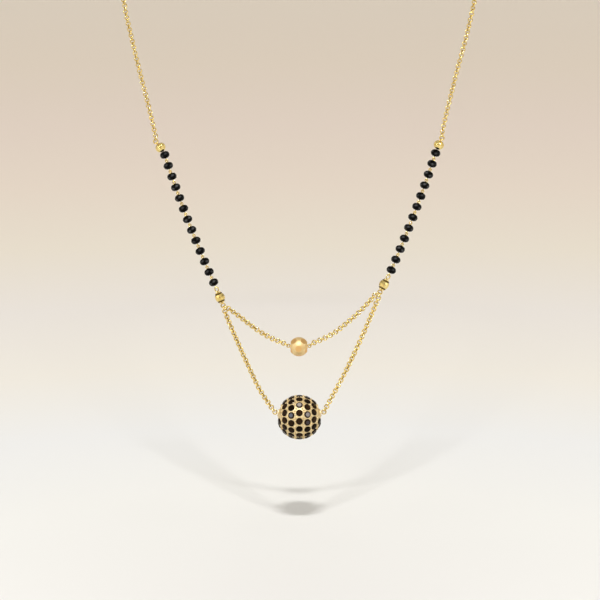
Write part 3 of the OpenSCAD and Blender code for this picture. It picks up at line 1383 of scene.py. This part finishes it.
@dataclass
class LowerChains(Part):
    """The swag that carries the lensed ball and the longer chain to the set ball.

    Attributes:
        swag_route: points of each half of the swag on the front's plane.
        long_route: points of each half of the longer chain.
        swag_start: lean of the swag where it leaves the ring below the cut ball.
        long_start: lean of the longer chain there.
        swag_rise: slope of the swag where it reaches the lensed ball's eye.
        hook: distance from the ring's centre to the first link's.
        eye_hook: distance from the last link's centre to that of the lensed ball's eye.
        lead: length of the straight start and end of the swag.
        ball_eye: distance of the last link of the longer chain from the set ball's centre.
        ball_eye_lift: height of that link as an angle at the same centre.
        swag_twist: lay of the swag's links, as LinkChain takes it.
        long_twist: lay of the longer chain's links.
    """

    swag_route: tuple[Route, Route] = (
        ((-12.4, 21), (-10.2, 19.3), (-7.9, 17.7), (-5.5, 16.4)),
        ((14.9, 24.5), (13.2, 22.7), (11.4, 21), (9.5, 19.4), (7.5, 17.8), (5.3, 16.6)),
    )
    long_route: tuple[Route, Route] = (
        ((-15, 20.5), (-12.9, 15.6), (-10.7, 10.7), (-8.5, 6.1), (-6.4, 2.8)),
        ((15.5, 22.4), (13.5, 17.7), (11.4, 13.1), (9.2, 8.6), (6.8, 4.2)),
    )
    swag_start: Pair = (61.0, 60.0)
    long_start: Pair = (15.0, 8.0)
    swag_rise: Pair = (29.0, 34.0)
    hook: float = 0.64
    eye_hook: float = 0.56
    lead: float = 0.6
    ball_eye: float = 5.25
    ball_eye_lift: float = 12.0
    swag_twist: Route = ((0.0, 0.0), (0.1, 22.0), (0.45, 18.0), (0.7, 6.0), (1.0, 0.0))
    long_twist: Route = ((0.0, 0.0), (0.1, 24.0), (0.5, 28.0), (0.9, 20.0), (1.0, 0.0))

    def long_run(self, side: Side) -> Run:
        """Lays one half of the longer chain from that ring to the set ball's eye.

        Args:
            side: the half.

        Returns:
            Its centreline.
        """
        points = [
            self.layout.fork(side) - self.hook * heading(side.lean(self.long_start)),
            *(Vector(p) for p in self.long_route[side.value]),
            self.ball_eye * heading(side.turned * (90 - self.ball_eye_lift)),
        ]
        return Run([self.layout.front.point(p) for p in points])

    def swag_run(self, side: Side) -> Run:
        """Lays one half of the swag from that ring to the lensed ball's eye.

        Args:
            side: the half.

        Returns:
            Its centreline.
        """
        fork, eye = self.layout.fork(side), self.layout.swag_eye(side)
        down = -heading(side.lean(self.swag_start))
        rise = heading(side.turned * (90 - self.swag_rise[side.value]))
        points = [
            fork + self.hook * down,
            fork + (self.hook + self.lead) * down,
            *(Vector(p) for p in self.swag_route[side.value]),
            eye + (self.eye_hook + self.lead) * rise,
            eye + self.eye_hook * rise,
        ]
        return Run([self.layout.front.point(p) for p in points])

    def build(self) -> None:
        """Makes both halves of both chains."""
        links = {"outer": 1.18, "wire": 0.265, "pitch": 0.65, "around": 20, "section": 10}
        for side in Side:
            for chain in (
                LinkChain("swag", side, self.swag_run(side), self.swag_twist, False, **links),
                LinkChain("long", side, self.long_run(side), self.long_twist, True, **links),
            ):
                chain.build(self.atelier, self.layout.front.normal)


# Findings


@dataclass
class Findings(Part):
    """The pins, eyes and rings that join the parts, bent from round wire.

    Rings and eyes are given by their outer diameter.

    Attributes:
        eye: eye between two black beads.
        eye_depth: how strongly painted shade darkens the inside of such an eye.
        top_eye: eye above the fluted bead.
        eye_wire: wire of both.
        shank: diameter of the pins through the beads.
        end_ring: jump ring at the foot of the neck chain.
        ring_wire: its wire.
        loop: outer width and length of the long loop above a cut ball.
        loop_wire: its wire.
        fork: ring below that ball.
        fork_wire: its wire.
        swag_eye: eye beside the lensed ball.
        swag_wire: its wire.
        overlaps: how far the two parts of a bent pin run into each other, in a string and in
            the swag.
    """

    eye: float = 0.74
    eye_depth: float = 0.35
    top_eye: float = 0.76
    eye_wire: float = 0.18
    shank: float = 0.13
    end_ring: float = 1.18
    ring_wire: float = 0.28
    loop: Pair = (0.97, 1.2)
    loop_wire: float = 0.25
    fork: float = 1.18
    fork_wire: float = 0.27
    swag_eye: float = 0.9
    swag_wire: float = 0.22
    overlaps: Pair = (0.03, 0.04)

    def bead_pins(self, side: Side) -> Shape:
        """Bends the pins of one string; the highest carries the fluted bead too.

        Args:
            side: the half.

        Returns:
            The pins.
        """
        layout = self.layout
        stands = [layout.bead_stand(side, i) for i in range(layout.counts[side.value])]
        top = layout.top_stand(side, layout.bend_at)
        reach = layout.eye_at - (self.eye - self.eye_wire) / 2
        top_reach = layout.top_eye_at - layout.bend_at
        top_shank = top_reach - (self.top_eye - self.eye_wire) / 2
        eyes = [stand @ up(-layout.eye_at) @ ACROSS for stand in stands]
        eyes += [stand @ up(layout.eye_at) @ FLAT for stand in stands[:-1]]
        eye = ring_shape(self.eye, self.eye_wire, depth=self.eye_depth)
        top_eye = ring_shape(self.top_eye, self.eye_wire)
        return merged(
            placed_copies(eye, eyes),
            moved(top_eye, top @ up(top_reach) @ ACROSS),
            placed_copies(rod_shape(self.shank, -reach, reach), stands[:-1]),
            moved(rod_shape(self.shank, -reach, layout.bend_at), stands[-1]),
            moved(rod_shape(self.shank, -self.overlaps[0], top_shank), top),
        )

    def junction_pin(self, side: Side) -> Shape:
        """Bends the pin through a cut ball, with its long loop above and its ring below.

        Args:
            side: the half.

        Returns:
            The pin.
        """
        layout = self.layout
        low = -layout.fork_at + (self.fork - self.fork_wire) / 2
        high = layout.loop_at - (self.loop[1] - self.loop_wire) / 2
        whole = merged(
            moved(loop_shape(*self.loop, self.loop_wire), up(layout.loop_at)),
            moved(ring_shape(self.fork, self.fork_wire), up(-layout.fork_at) @ FLAT),
            rod_shape(self.loop_wire, low, high),
        )
        return moved(whole, layout.junction_stand(side))

    def swag_pin(self) -> Shape:
        """Bends the pin through the lensed ball, with an eye at each side.

        Returns:
            The pin.
        """
        layout = self.layout
        front = layout.front
        ends = [front.stand(layout.swag_bend(side), layout.swag_eye_lean(side)) for side in Side]
        neck = layout.swag_eye_reach - (self.swag_eye - self.swag_wire) / 2
        eye = moved(ring_shape(self.swag_eye, self.swag_wire), up(layout.swag_eye_reach) @ FLAT)
        end = merged(eye, rod_shape(self.swag_wire, -self.overlaps[1], neck))
        middle = rod_shape(self.swag_wire, -layout.swag_bend_at, layout.swag_bend_at)
        bore = front.stand(layout.swag_ball_at) @ ACROSS
        return merged(placed_copies(end, ends), moved(middle, bore))

    def build(self) -> None:
        """Makes all of them."""
        for side in Side:
            ring_at = self.layout.on_top_pin(side, self.layout.end_ring_at)
            ring = ring_shape(self.end_ring, self.ring_wire)
            for name, node, shape in (
                ("eye_pins", "bead_pins", self.bead_pins(side)),
                ("fork_pin", "junction_pin", self.junction_pin(side)),
                ("top_ring", "end_ring", moved(ring, self.layout.front.stand(ring_at) @ FLAT)),
            ):
                names = (f"{name}_{side.label}", f"{node}_{side.label}")
                self.atelier.piece(names[0], shape, CHAIN_GOLD, names[1])
        self.atelier.piece("swag_eyes", self.swag_pin(), CHAIN_GOLD, "swag_pin")


# Beads and balls


def shade_by_copy(mesh: bpy.types.Mesh, shades: Sequence[float]) -> None:
    """Scales the marked tone and painted glints of each of a mesh's equal copies.

    Args:
        mesh: a mesh of equal copies, one after another.
        shades: a value from 0 to 1 for each copy.
    """
    attribute = mesh.attributes[TONE_AND_GLINT_NAME]
    values = [0.0] * len(mesh.vertices)
    attribute.data.foreach_get("value", values)
    each = len(values) // len(shades)
    attribute.data.foreach_set("value", [v * shades[i // each] for i, v in enumerate(values)])


@dataclass
class BlackStrings(Part):
    """The black rondelles of both strings.

    Attributes:
        diameter: greatest diameter of a bead.
        length: its length.
        bore: diameter of its hole.
        tilt: how far a bead may tilt on its pin, in degrees.
        girdle: share of the radius outside which a corner lies on the girdle.
        corners: number of corners round the girdle, as the cut has them.
        glint_step: one corner in so many is grey, a painted glint.
        shades: lightness of the painted glints, on the darkest and on the lightest bead.
    """

    diameter: float = 2.05
    length: float = 1.45
    bore: float = 0.28
    tilt: float = 2.5
    girdle: float = 0.95
    corners: int = 12
    glint_step: int = 4
    shades: Pair = (0.4, 1.0)

    def grey_corner(self, at: Vector) -> float:
        """Picks the corners of the girdle that carry painted glints: grey spots that stand for soft
        reflections.

        Args:
            at: a corner of a bead.

        Returns:
            1 for such a corner and 0 for the rest; the lower ones lie between the upper ones.
        """
        turn = math.degrees(math.atan2(at.y, at.x))
        column = round(turn / 360 * self.corners) % self.corners
        at_girdle = math.hypot(at.x, at.y) > self.girdle * self.diameter / 2
        first = 0 if at.z > 0 else self.glint_step // 2
        return float(at_girdle and column % self.glint_step == first)

    def build(self) -> None:
        """Makes one piece for each string."""
        for side in Side:
            hand = random.Random(f"string {side.label}")
            count = self.layout.counts[side.value]
            bead = RONDELLE_CUT.shape(self.diameter, self.length, self.bore)
            # Painted glints: a few grey corners on each bead's girdle
            mark(bead, TONE_AND_GLINT_NAME, self.grey_corner)
            places = [
                self.layout.bead_stand(side, i)
                @ rotation(hand.uniform(-self.tilt, self.tilt), "Y")
                @ Matrix.Rotation(hand.uniform(0, math.pi), 4, "Z")
                for i in range(count)
            ]
            string = self.atelier.piece(
                f"black_rondelles_{side.label}",
                placed_copies(bead, places),
                RONDELLE_BLACK,
                *(f"bead_{side.label}_{i + 1}" for i in range(count)),
                smooth=False,
            )
            # Each bead's painted glints get their own lightness
            shade_by_copy(string.data, [hand.uniform(*self.shades) for _ in range(count)])


@dataclass
class FlutedBeads(Part):
    """The melon-fluted gold bead at the top of each string.

    Attributes:
        diameter: greatest diameter.
        length: length from pole to pole.
        bore: diameter of the hole.
        mouth: share of the radius that is cut away round each pole.
        mouth_depth: share of the height to which the mouth's bore runs in.
        flutes: number of flutes.
        flute_depth: depth of a furrow, as a share of the radius.
        crest: how round the flutes are; less is rounder.
        furrow_mark: how strongly painted shade darkens the furrows.
        steps: faces round one flute, and from pole to pole.
        first_furrow: turn of the flutes about the pin, in degrees.
    """

    diameter: float = 2.2
    length: float = 1.98
    bore: float = 0.28
    mouth: float = 0.12
    mouth_depth: float = 0.8
    flutes: int = 7
    flute_depth: float = 0.14
    crest: float = 0.55
    furrow_mark: float = 0.6
    steps: tuple[int, int] = (16, 28)
    first_furrow: float = 12.0

    def furrow(self, at: Vector) -> float:
        """Share of the full depth of a furrow: 1 in it, and 0 on the crest of a flute."""
        turn = math.atan2(at.y, at.x) + math.radians(self.first_furrow)
        return 1 - abs(math.cos(self.flutes * turn / 2)) ** self.crest

    def shape(self) -> Shape:
        """Makes one bead about +Z.

        Returns:
            The bead.
        """
        shape = bmesh.new()
        bmesh.ops.create_uvsphere(
            shape, u_segments=self.flutes * self.steps[0], v_segments=self.steps[1], radius=1.0
        )
        poles = [v for v in shape.verts if math.hypot(v.co.x, v.co.y) < self.mouth]
        bmesh.ops.delete(shape, geom=poles, context="VERTS")
        # Painted shade in the furrows between the flutes
        mark(shape, PAINTED_SHADE_NAME, lambda at: self.furrow_mark * self.furrow(at) ** 2)
        for vert in shape.verts:
            radius = (1 - self.flute_depth * self.furrow(vert.co)) * self.diameter / 2
            vert.co = Vector((vert.co.x * radius, vert.co.y * radius, vert.co.z * self.length / 2))
        rims = [e for e in shape.edges if e.is_boundary]
        inner = bmesh.ops.extrude_edge_only(shape, edges=rims)["geom"]
        for vert in (g for g in inner if isinstance(g, bmesh.types.BMVert)):
            flat = Vector((vert.co.x, vert.co.y)).normalized() * self.bore / 2
            vert.co = Vector((flat.x, flat.y, vert.co.z * self.mouth_depth))
        mouths = [g for g in inner if isinstance(g, bmesh.types.BMEdge)]
        bmesh.ops.bridge_loops(shape, edges=mouths)
        bmesh.ops.recalc_face_normals(shape, faces=shape.faces)
        return shape

    def build(self) -> None:
        """Makes both beads."""
        for side in Side:
            bead = moved(self.shape(), self.layout.top_stand(side, self.layout.end_bead_at))
            name = f"fluted_bead_{side.label}"
            self.atelier.piece(name, bead, CUT_GOLD, f"end_bead_{side.label}")


@dataclass
class JunctionBalls(Part):
    """The diamond-cut gold ball where each string divides, with its two collars.

    Attributes:
        diameter: greatest diameter.
        bore: diameter of the hole.
        collar: diameter and length of the collar at each end.
        neck: diameter and length of the ring between collar and ball, painted dark as a shaded groove.
        wear: how strongly painted shade darkens the middle of the ball.
        shoulder_wear: how strongly painted shade darkens its ends.
        shoulder: share of the radius at which its ends begin.
    """

    diameter: float = 2.16
    bore: float = 0.27
    collar: Pair = (1.2, 0.27)
    neck: Pair = (1.56, 0.2)
    wear: float = 0.04
    shoulder_wear: float = 0.7
    shoulder: float = 0.7

    def shape(self) -> Shape:
        """Makes one ball about +Z.

        Returns:
            The ball with its collars.
        """
        ball = BALL_CUT.shape(self.diameter, self.diameter, self.bore)
        shoulder = self.shoulder * self.diameter / 2
        # Painted shade: faint on the middle of the ball, strong on its ends
        mark(
            ball,
            PAINTED_SHADE_NAME,
            lambda at: self.wear if abs(at.z) < shoulder else self.shoulder_wear,
        )
        collar_at = self.layout.ball_top - self.collar[1] / 2
        neck_at = self.layout.ball_top - self.collar[1] - self.neck[1] / 2
        tubes = []
        # Painted shade: the collars stay clean, the necks are painted dark
        for size, at, hollow in ((self.collar, collar_at, 0.0), (self.neck, neck_at, 1.0)):
            for end in (-1, 1):
                tubes.append(collar_shape(*size, self.bore, end * at))
                mark(tubes[-1], PAINTED_SHADE_NAME, lambda _: hollow)
        return merged(ball, *tubes)

    def build(self) -> None:
        """Makes both balls."""
        for side in Side:
            ball = moved(self.shape(), self.layout.junction_stand(side))
            names = (f"cut_ball_{side.label}", f"junction_ball_{side.label}")
            self.atelier.piece(names[0], ball, CUT_GOLD, names[1], smooth=False)


@dataclass
class LensedBall(Part):
    """The hollow gold ball on the swag, satin all over but for twelve milled round lenses.

    Attributes:
        diameter: greatest diameter.
        length: length along the bore, between the flats at its ends.
        fineness: how often the faces of the ball are divided.
        lens_radius: radius of a lens.
        lens_blur: depth over which the painted reflection colour of a lens comes in.
        rim: diameter and length of the rim of the bore.
        rim_sink: how far the rim is let into the ball.
        bore: diameter of the hole.
        facing: how far the front lens is turned aside and up, in degrees.
    """

    diameter: float = 4.06
    length: float = 3.5
    fineness: int = 6
    lens_radius: float = 0.68
    lens_blur: float = 0.012
    rim: Pair = (0.8, 0.08)
    rim_sink: float = 0.01
    bore: float = 0.3
    facing: Pair = (-2.5, -13.5)

    def lens_ways(self) -> list[Vector]:
        """Spreads the lenses: one faces the viewer, and the others stand evenly about it.

        Returns:
            The direction of each lens.
        """
        aside, rise = (math.radians(angle) for angle in self.facing)
        turn = Matrix.Rotation(aside, 3, "Z") @ Matrix.Rotation(-rise, 3, "X")
        step = math.degrees(math.atan(2.0))
        rings = ((0.0, 0.0, 1), (step, 36.0, 5), (180.0 - step, 0.0, 5), (180.0, 0.0, 1))
        ways = []
        for out, first, count in rings:
            for i in range(count):
                tip = Matrix.Rotation(math.radians(-out), 3, "X")
                about = Matrix.Rotation(math.radians(first + 72.0 * i), 3, "Y")
                ways.append(turn @ about @ tip @ Vector((0.0, -1.0, 0.0)))
        return ways

    def build(self) -> None:
        """Makes the ball with the small rims of its bore."""
        radius = self.diameter / 2
        flat_at = math.sqrt(radius**2 - self.lens_radius**2)
        ways = self.lens_ways()
        ball = bmesh.new()
        bmesh.ops.create_icosphere(ball, subdivisions=self.fineness, radius=radius)
        # Painted reflection: the lenses get their own deeper orange colour
        mark(
            ball,
            LENS_NAME,
            lambda at: (max(at.dot(way) for way in ways) - flat_at) / self.lens_blur,
        )
        for way in ways:
            for vert in ball.verts:
                vert.co -= max(vert.co.dot(way) - flat_at, 0.0) * way
        for vert in ball.verts:
            vert.co.x = max(-self.length / 2, min(self.length / 2, vert.co.x))
        rim_at = (self.length + self.rim[1]) / 2 - self.rim_sink
        rims = [collar_shape(*self.rim, self.bore, end * rim_at) for end in (-1, 1)]
        whole = merged(ball, *(moved(rim, ACROSS) for rim in rims))
        place = self.layout.front.stand(self.layout.swag_ball_at)
        self.atelier.piece("lensed_ball", moved(whole, place), SATIN_GOLD, "swag_ball")


@dataclass
class SetBall(Part):
    """The large ball: its black stones, and the gold grains that hold them.

    Attributes:
        radius: the ball's radius.
        stone_diameter: diameter of a stone.
        stone_length: length that the cut takes its heights from.
        stone_tilt: how far a stone may lie askew, in degrees.
        table_edge: share of the crown's height above which a corner lies on the table.
        crown_shade: how much of its shade a stone keeps outside its table; the lighter table is a
            painted reflection.
        grain_fineness: how often the faces of a grain are divided.
        grain_sizes: radii of the smallest and of the largest grain.
        grain_rise: height of a grain's centre over the ball.
        grain_gap: least distance between two grains.
        grain_reach: latitude up to which grains stand, in whole degrees.
        grain_step: step of the search for their places, in whole degrees.
        dark: lightest shade of the plain dark stones.
        light_stones: place to the right and up, and shade, of the stones near the viewer whose tables
            get a painted reflection.
        rows: latitude, number of stones, turn of the first one and step of each row.
    """

    radius: float = 4.5
    stone_diameter: float = 1.44
    stone_length: float = 1.0
    stone_tilt: float = 3.0
    table_edge: float = 0.9
    crown_shade: float = 0.45
    grain_fineness: int = 2
    grain_sizes: Pair = (0.09, 0.2)
    grain_rise: float = 0.02
    grain_gap: float = 0.42
    grain_reach: int = 56
    grain_step: int = 2
    dark: float = 0.6
    light_stones: tuple[tuple[float, float, float], ...] = (
        (-0.29, 2.56, 1.0),
        (1.49, 0.69, 0.94),
        (-1.85, 0.53, 0.8),
        (1.6, -1.1, 0.66),
        (0.0, 4.3, 0.7),
        (1.9, 3.9, 0.7),
    )
    rows: tuple[tuple[float, int, float, float], ...] = (
        (-68.0, 3, 30.0, 60.0),
        (-43.5, 13, 9.5, 360 / 13),
        (-22.0, 16, 15.0, 22.5),
        (0.0, 16, 8.5, 22.5),
        (22.0, 16, 12.5, 22.5),
        (43.5, 13, 6.5, 360 / 13),
        (68.0, 3, 30.0, 60.0),
    )

    def stand(self, latitude: float, turn: float, height: float) -> Matrix:
        """Stands a shape on the ball, its own +Z outwards.

        Args:
            latitude: angle from the ball's middle column, in degrees.
            turn: angle about the ball's bore, in degrees.
            height: distance from the ball's centre.

        Returns:
            The placing matrix.
        """
        ball = self.layout.front.stand((0.0, 0.0))
        return ball @ rotation(90 + turn, "X") @ rotation(latitude, "Y") @ up(height)

    def seats(self) -> list[tuple[float, float]]:
        """Latitude and turn of each stone."""
        return [(lat, first + step * i) for lat, count, first, step in self.rows for i in range(count)]

    def spot(self, latitude: float, turn: float) -> Vector:
        """Finds a point of the ball in its own axes.

        Args:
            latitude: angle from the ball's middle column, in degrees.
            turn: angle about the ball's bore, in degrees.

        Returns:
            The point.
        """
        lat, lon = math.radians(latitude), math.radians(turn)
        way = (math.sin(lat), math.cos(lat) * math.sin(lon), math.cos(lat) * math.cos(lon))
        return self.radius * Vector(way)

    def shades(self) -> list[float]:
        """Shades the stones: nearly all get a random dark tone, and a few near the viewer a painted
        reflection that makes them light.

        Returns:
            The shade of each stone.
        """
        hand = random.Random("stone shades")
        spots = [self.spot(*seat) for seat in self.seats()]
        shades = [self.dark * hand.random() for _ in spots]
        ahead = [i for i, spot in enumerate(spots) if spot.z > 0]
        # Painted reflection on the tables of the chosen stones near the viewer
        for right, high, shade in self.light_stones:
            near = min(ahead, key=lambda i: math.hypot(spots[i].x - right, -spots[i].y - high))
            shades[near] = shade
        return shades

    def grains(self) -> list[tuple[float, float, float]]:
        """Finds places for grains in the widest gaps between the stones.

        Returns:
            Latitude, turn and radius of each grain.
        """
        seats = self.seats()
        stones = KDTree(len(seats))
        for i, seat in enumerate(seats):
            stones.insert(self.spot(*seat), i)
        stones.balance()
        free = []
        for latitude in range(-self.grain_reach, self.grain_reach + 1, self.grain_step):
            for turn in range(0, 360, self.grain_step):
                spot = self.spot(latitude, turn)
                free.append((stones.find(spot)[2] - self.stone_diameter / 2, latitude, turn, spot))
        smallest, largest = self.grain_sizes
        found: list[tuple[float, float, float]] = []
        taken: list[Vector] = []
        for room, latitude, turn, spot in sorted(free, key=lambda f: -f[0]):
            if room < smallest:
                break
            if all((spot - other).length > self.grain_gap for other in taken):
                taken.append(spot)
                found.append((latitude, turn, min(room, largest)))
        return found

    def build(self) -> None:
        """Makes the stones and the grains."""
        hand = random.Random("set ball")
        stone = BRILLIANT_CUT.shape(self.stone_diameter, self.stone_length)
        table = self.table_edge * max(vert.co.z for vert in stone.verts)
        # Painted reflection: the table is lighter than the crown
        mark(stone, TONE_AND_GLINT_NAME, lambda at: 1.0 if at.z > table else self.crown_shade)
        places = [
            self.stand(latitude, turn, self.radius)
            @ rotation(hand.uniform(-self.stone_tilt, self.stone_tilt), "X")
            @ rotation(hand.uniform(-self.stone_tilt, self.stone_tilt), "Y")
            @ Matrix.Rotation(hand.uniform(0, math.pi), 4, "Z")
            for latitude, turn in self.seats()
        ]
        stones = placed_copies(stone, places)
        piece = self.atelier.piece("set_stones", stones, SET_BLACK, "pave_stones", smooth=False)
        shade_by_copy(piece.data, self.shades())

        grain = bmesh.new()
        bmesh.ops.create_icosphere(grain, subdivisions=self.grain_fineness, radius=1.0)
        spots = [
            self.stand(latitude, turn, self.radius + self.grain_rise) @ Matrix.Scale(size, 4)
            for latitude, turn, size in self.grains()
        ]
        LOG.info("set ball: %d grains", len(spots))
        self.atelier.piece("set_grains", placed_copies(grain, spots), GRAINED_GOLD)


# Studio


def look_back(thing: bpy.types.Object, target: Vector, way: Vector, distance: float) -> None:
    """Puts a lamp or the camera off a point, and turns it to look back at that point.

    Args:
        thing: the lamp or camera.
        target: the point, in metres.
        way: direction from the point to it, of length 1.
        distance: its distance in metres.
    """
    thing.location = target + way * distance
    thing.rotation_euler = way.to_track_quat("Z", "Y").to_euler()


@dataclass(frozen=True)
class Lamp:
    """A soft rectangular lamp that points at the necklace.

    Attributes:
        name: the lamp's name.
        direction: where it stands, seen from the necklace.
        distance: its distance in metres.
        size: its width and height in metres.
        watts: its power.
        colour: its colour.
    """

    name: str
    direction: tuple[float, float, float]
    distance: float
    size: Pair
    watts: float
    colour: Colour

    def build(self, target: Vector) -> None:
        """Hangs the lamp.

        Args:
            target: the point that it looks at, in metres.
        """
        data = bpy.data.lights.new(self.name, "AREA")
        data.shape = "RECTANGLE"
        data.size, data.size_y = self.size
        data.energy = self.watts
        data.color = self.colour
        way = Vector(self.direction).normalized()
        look_back(add_object(self.name, data), target, way, self.distance)


@dataclass(frozen=True)
class Panel:
    """A soft round patch of the room, bright as a reflector or dark as a black card.

    Attributes:
        toward: its direction, seen from the necklace.
        radius: its radius in degrees.
        softness: width of its soft rim in degrees.
        colour: the light that it sends.
    """

    toward: tuple[float, float, float]
    radius: float
    softness: float
    colour: Colour

    def laid(self, sheet: NodeSheet, way: Any, room: Any) -> Any:
        """Lays the patch over the room.

        Args:
            sheet: the world's sheet.
            way: the output that gives the direction.
            room: the output that gives the room's colour so far.

        Returns:
            The output with the patch in it.
        """
        near = sheet.facing(way, Vector(self.toward).normalized())
        rim = math.cos(math.radians(self.radius + self.softness))
        share = sheet.spread(near, rim, math.cos(math.radians(self.radius)), kind="SMOOTHSTEP")
        return sheet.mix("RGBA", share, room, self.colour)


@dataclass
class Studio:
    """Pale floor, soft lamps, the surroundings that the metal mirrors, and the camera.

    Attributes:
        layout: where the necklace hangs.
        aim: point of the front's plane in the middle of the picture.
        view_width: width of the picture there, in millimetres.
        lens: focal length of the camera.
        sensor: width of its sensor.
        elevation: angle from which it looks down.
        clip: nearest and farthest distance that it sees, in metres.
        floor_below_ball: depth of the floor below the large ball's centre.
        floor_fall: how far the floor falls towards the back, in degrees.
        floor_radius: radius of the floor in metres.
        floor_sides: number of sides of the floor.
        floor: finish of the floor.
        walls: colours of the mirrored room, from behind the necklace to before it.
        cards: shades of the soft dark cards that stand in it.
        card_scale: number of cards across the room.
        panels: reflectors and black cards in it.
        backdrop: colour of the room as the camera sees it.
        lamps: the lamps.
    """

    layout: Layout
    aim: Pair = (0.13, 24.6)
    view_width: float = 126.0
    lens: float = 150.0
    sensor: float = 36.0
    elevation: float = 20.0
    clip: Pair = (0.01, 50.0)
    floor_below_ball: float = 25.6
    floor_fall: float = 10.0
    floor_radius: float = 6.0
    floor_sides: int = 96
    floor: PaperFinish = PaperFinish(
        "studio_paper",
        rings=(
            (0.0, (0.735, 0.728, 0.722)),
            (0.049, (0.823, 0.826, 0.816)),
            (0.081, (0.828, 0.838, 0.852)),
            (0.12, (0.88, 0.852, 0.80)),
            (0.171, (0.882, 0.848, 0.82)),
            (0.237, (0.928, 0.865, 0.767)),
            (0.328, (0.963, 0.858, 0.763)),
            (0.461, (0.975, 0.858, 0.774)),
            (0.673, (0.98, 0.874, 0.763)),
            (0.995, (0.985, 0.892, 0.787)),
        ),
        reach_mm=1900.0,
        centre_mm=(0.0, -170.0, 0.0),
    )
    walls: tuple[tuple[float, Colour], ...] = (
        (0.0, (0.80, 0.77, 0.72)),
        (0.45, (1.0, 0.97, 0.91)),
        (0.70, (0.86, 0.83, 0.77)),
        (0.90, (0.62, 0.59, 0.54)),
        (1.0, (0.52, 0.49, 0.44)),
    )
    cards: tuple[tuple[float, Colour], ...] = ((0.42, (0.35, 0.33, 0.30)), (0.54, (1.0, 1.0, 1.0)))
    card_scale: float = 2.6
    panels: tuple[Panel, ...] = (
        Panel((0.02, -0.93, 0.36), 6.0, 4.0, (0.10, 0.09, 0.08)),
        Panel((-0.75, -0.40, 0.52), 14.0, 6.0, (1.95, 1.91, 1.83)),
        Panel((0.80, -0.30, 0.52), 12.0, 6.0, (1.8, 1.76, 1.7)),
        Panel((0.0, -0.55, 0.84), 8.0, 4.0, (1.35, 1.35, 1.33)),
    )
    backdrop: Colour = (0.66, 0.58, 0.47)
    lamps: tuple[Lamp, ...] = (
        Lamp("overhead_lamp", (0.0, -0.60, 1.0), 0.8, (0.10, 0.045), 4.0, (1.0, 0.99, 0.97)),
        Lamp("front_spark", (-0.26, -0.84, 0.48), 0.8, (0.05, 0.05), 0.4, (0.95, 0.98, 1.0)),
    )

    def build(self) -> None:
        """Sets the whole studio up."""
        target = self.layout.front.point(self.aim) * MM
        self._lay_floor()
        self._surround()
        for lamp in self.lamps:
            lamp.build(target)
        self._set_camera(target)
        settings = bpy.context.scene.view_settings
        settings.view_transform = "Standard"
        settings.look = "None"

    def _lay_floor(self) -> None:
        """Lays a wide round floor below the large ball, falling a little towards the back."""
        ball = self.layout.front.point((0.0, 0.0)) * MM
        place = Matrix.Translation(ball) @ up(-self.floor_below_ball * MM)
        shape = bmesh.new()
        bmesh.ops.create_circle(
            shape,
            cap_ends=True,
            segments=self.floor_sides,
            radius=self.floor_radius,
            matrix=place @ rotation(-self.floor_fall, "X"),
        )
        mesh_object("studio_floor", shape, self.floor.material())

    def _surround(self) -> None:
        """Sets a pale room for the eye, and one with dark and bright parts for the metal."""
        world = bpy.data.worlds.new("studio_room")
        bpy.context.scene.world = world
        world.use_nodes = True
        sheet = NodeSheet(world.node_tree)
        way = sheet.add("ShaderNodeTexCoord").outputs["Generated"]
        depth = sheet.spread(sheet.facing(way, -self.layout.front.normal), -1.0, 1.0)
        cards = sheet.ramp(sheet.noise(way, self.card_scale, detail=1.0), self.cards)
        walls = sheet.ramp(depth, self.walls)
        room = sheet.mix("RGBA", 1.0, walls, cards, blend_type="MULTIPLY")
        for panel in self.panels:
            room = panel.laid(sheet, way, room)
        seen = sheet.add("ShaderNodeLightPath").outputs["Is Camera Ray"]
        both = sheet.add("ShaderNodeMixShader", Fac=seen)
        for socket, colour in ((1, room), (2, self.backdrop)):
            light = sheet.add("ShaderNodeBackground", Color=colour, Strength=1.0)
            sheet.feed(both, socket, light.outputs[0])
        sheet.add("ShaderNodeOutputWorld", Surface=both.outputs[0])

    def _set_camera(self, target: Vector) -> None:
        """Sets the camera square on to the leaning front, far off.

        Args:
            target: the point that it looks at, in metres.
        """
        data = bpy.data.cameras.new("photo_camera")
        data.lens = self.lens
        data.sensor_width = self.sensor
        data.clip_start, data.clip_end = self.clip
        camera = add_object("photo_camera", data)
        angle = math.radians(self.elevation)
        way = Vector((0.0, -math.cos(angle), math.sin(angle)))
        look_back(camera, target, way, self.view_width * MM * self.lens / self.sensor)
        bpy.context.scene.camera = camera


# The whole necklace


def dress_frame(nodes: dict[str, bpy.types.Object], atelier: Atelier) -> None:
    """Gives every CAD node its finish, also those that a finer piece later replaces.

    Args:
        nodes: the frame's nodes by name.
        atelier: where they are finished.
    """
    finishes = {
        "pave_ball": GRAINED_GOLD,
        "pave_stones": SET_BLACK,
        "bead_left": RONDELLE_BLACK,
        "bead_right": RONDELLE_BLACK,
        "end_bead": CUT_GOLD,
        "junction_ball": CUT_GOLD,
        "swag_ball": SATIN_GOLD,
    }
    for name, node in nodes.items():
        finish = next((f for stem, f in finishes.items() if name.startswith(stem)), CHAIN_GOLD)
        atelier.dress(node, finish)


def main() -> None:
    """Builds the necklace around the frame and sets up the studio."""
    logging.basicConfig(level=logging.INFO, format="%(name)s: %(message)s")
    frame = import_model()
    atelier, layout = Atelier(SharedEffects()), Layout()
    dress_frame(frame["nodes"], atelier)
    for part in (
        NeckChains,
        Findings,
        FlutedBeads,
        BlackStrings,
        JunctionBalls,
        LowerChains,
        LensedBall,
        SetBall,
    ):
        part(atelier, layout).build()
    Studio(layout).build()


if __name__ == "__main__":
    main()
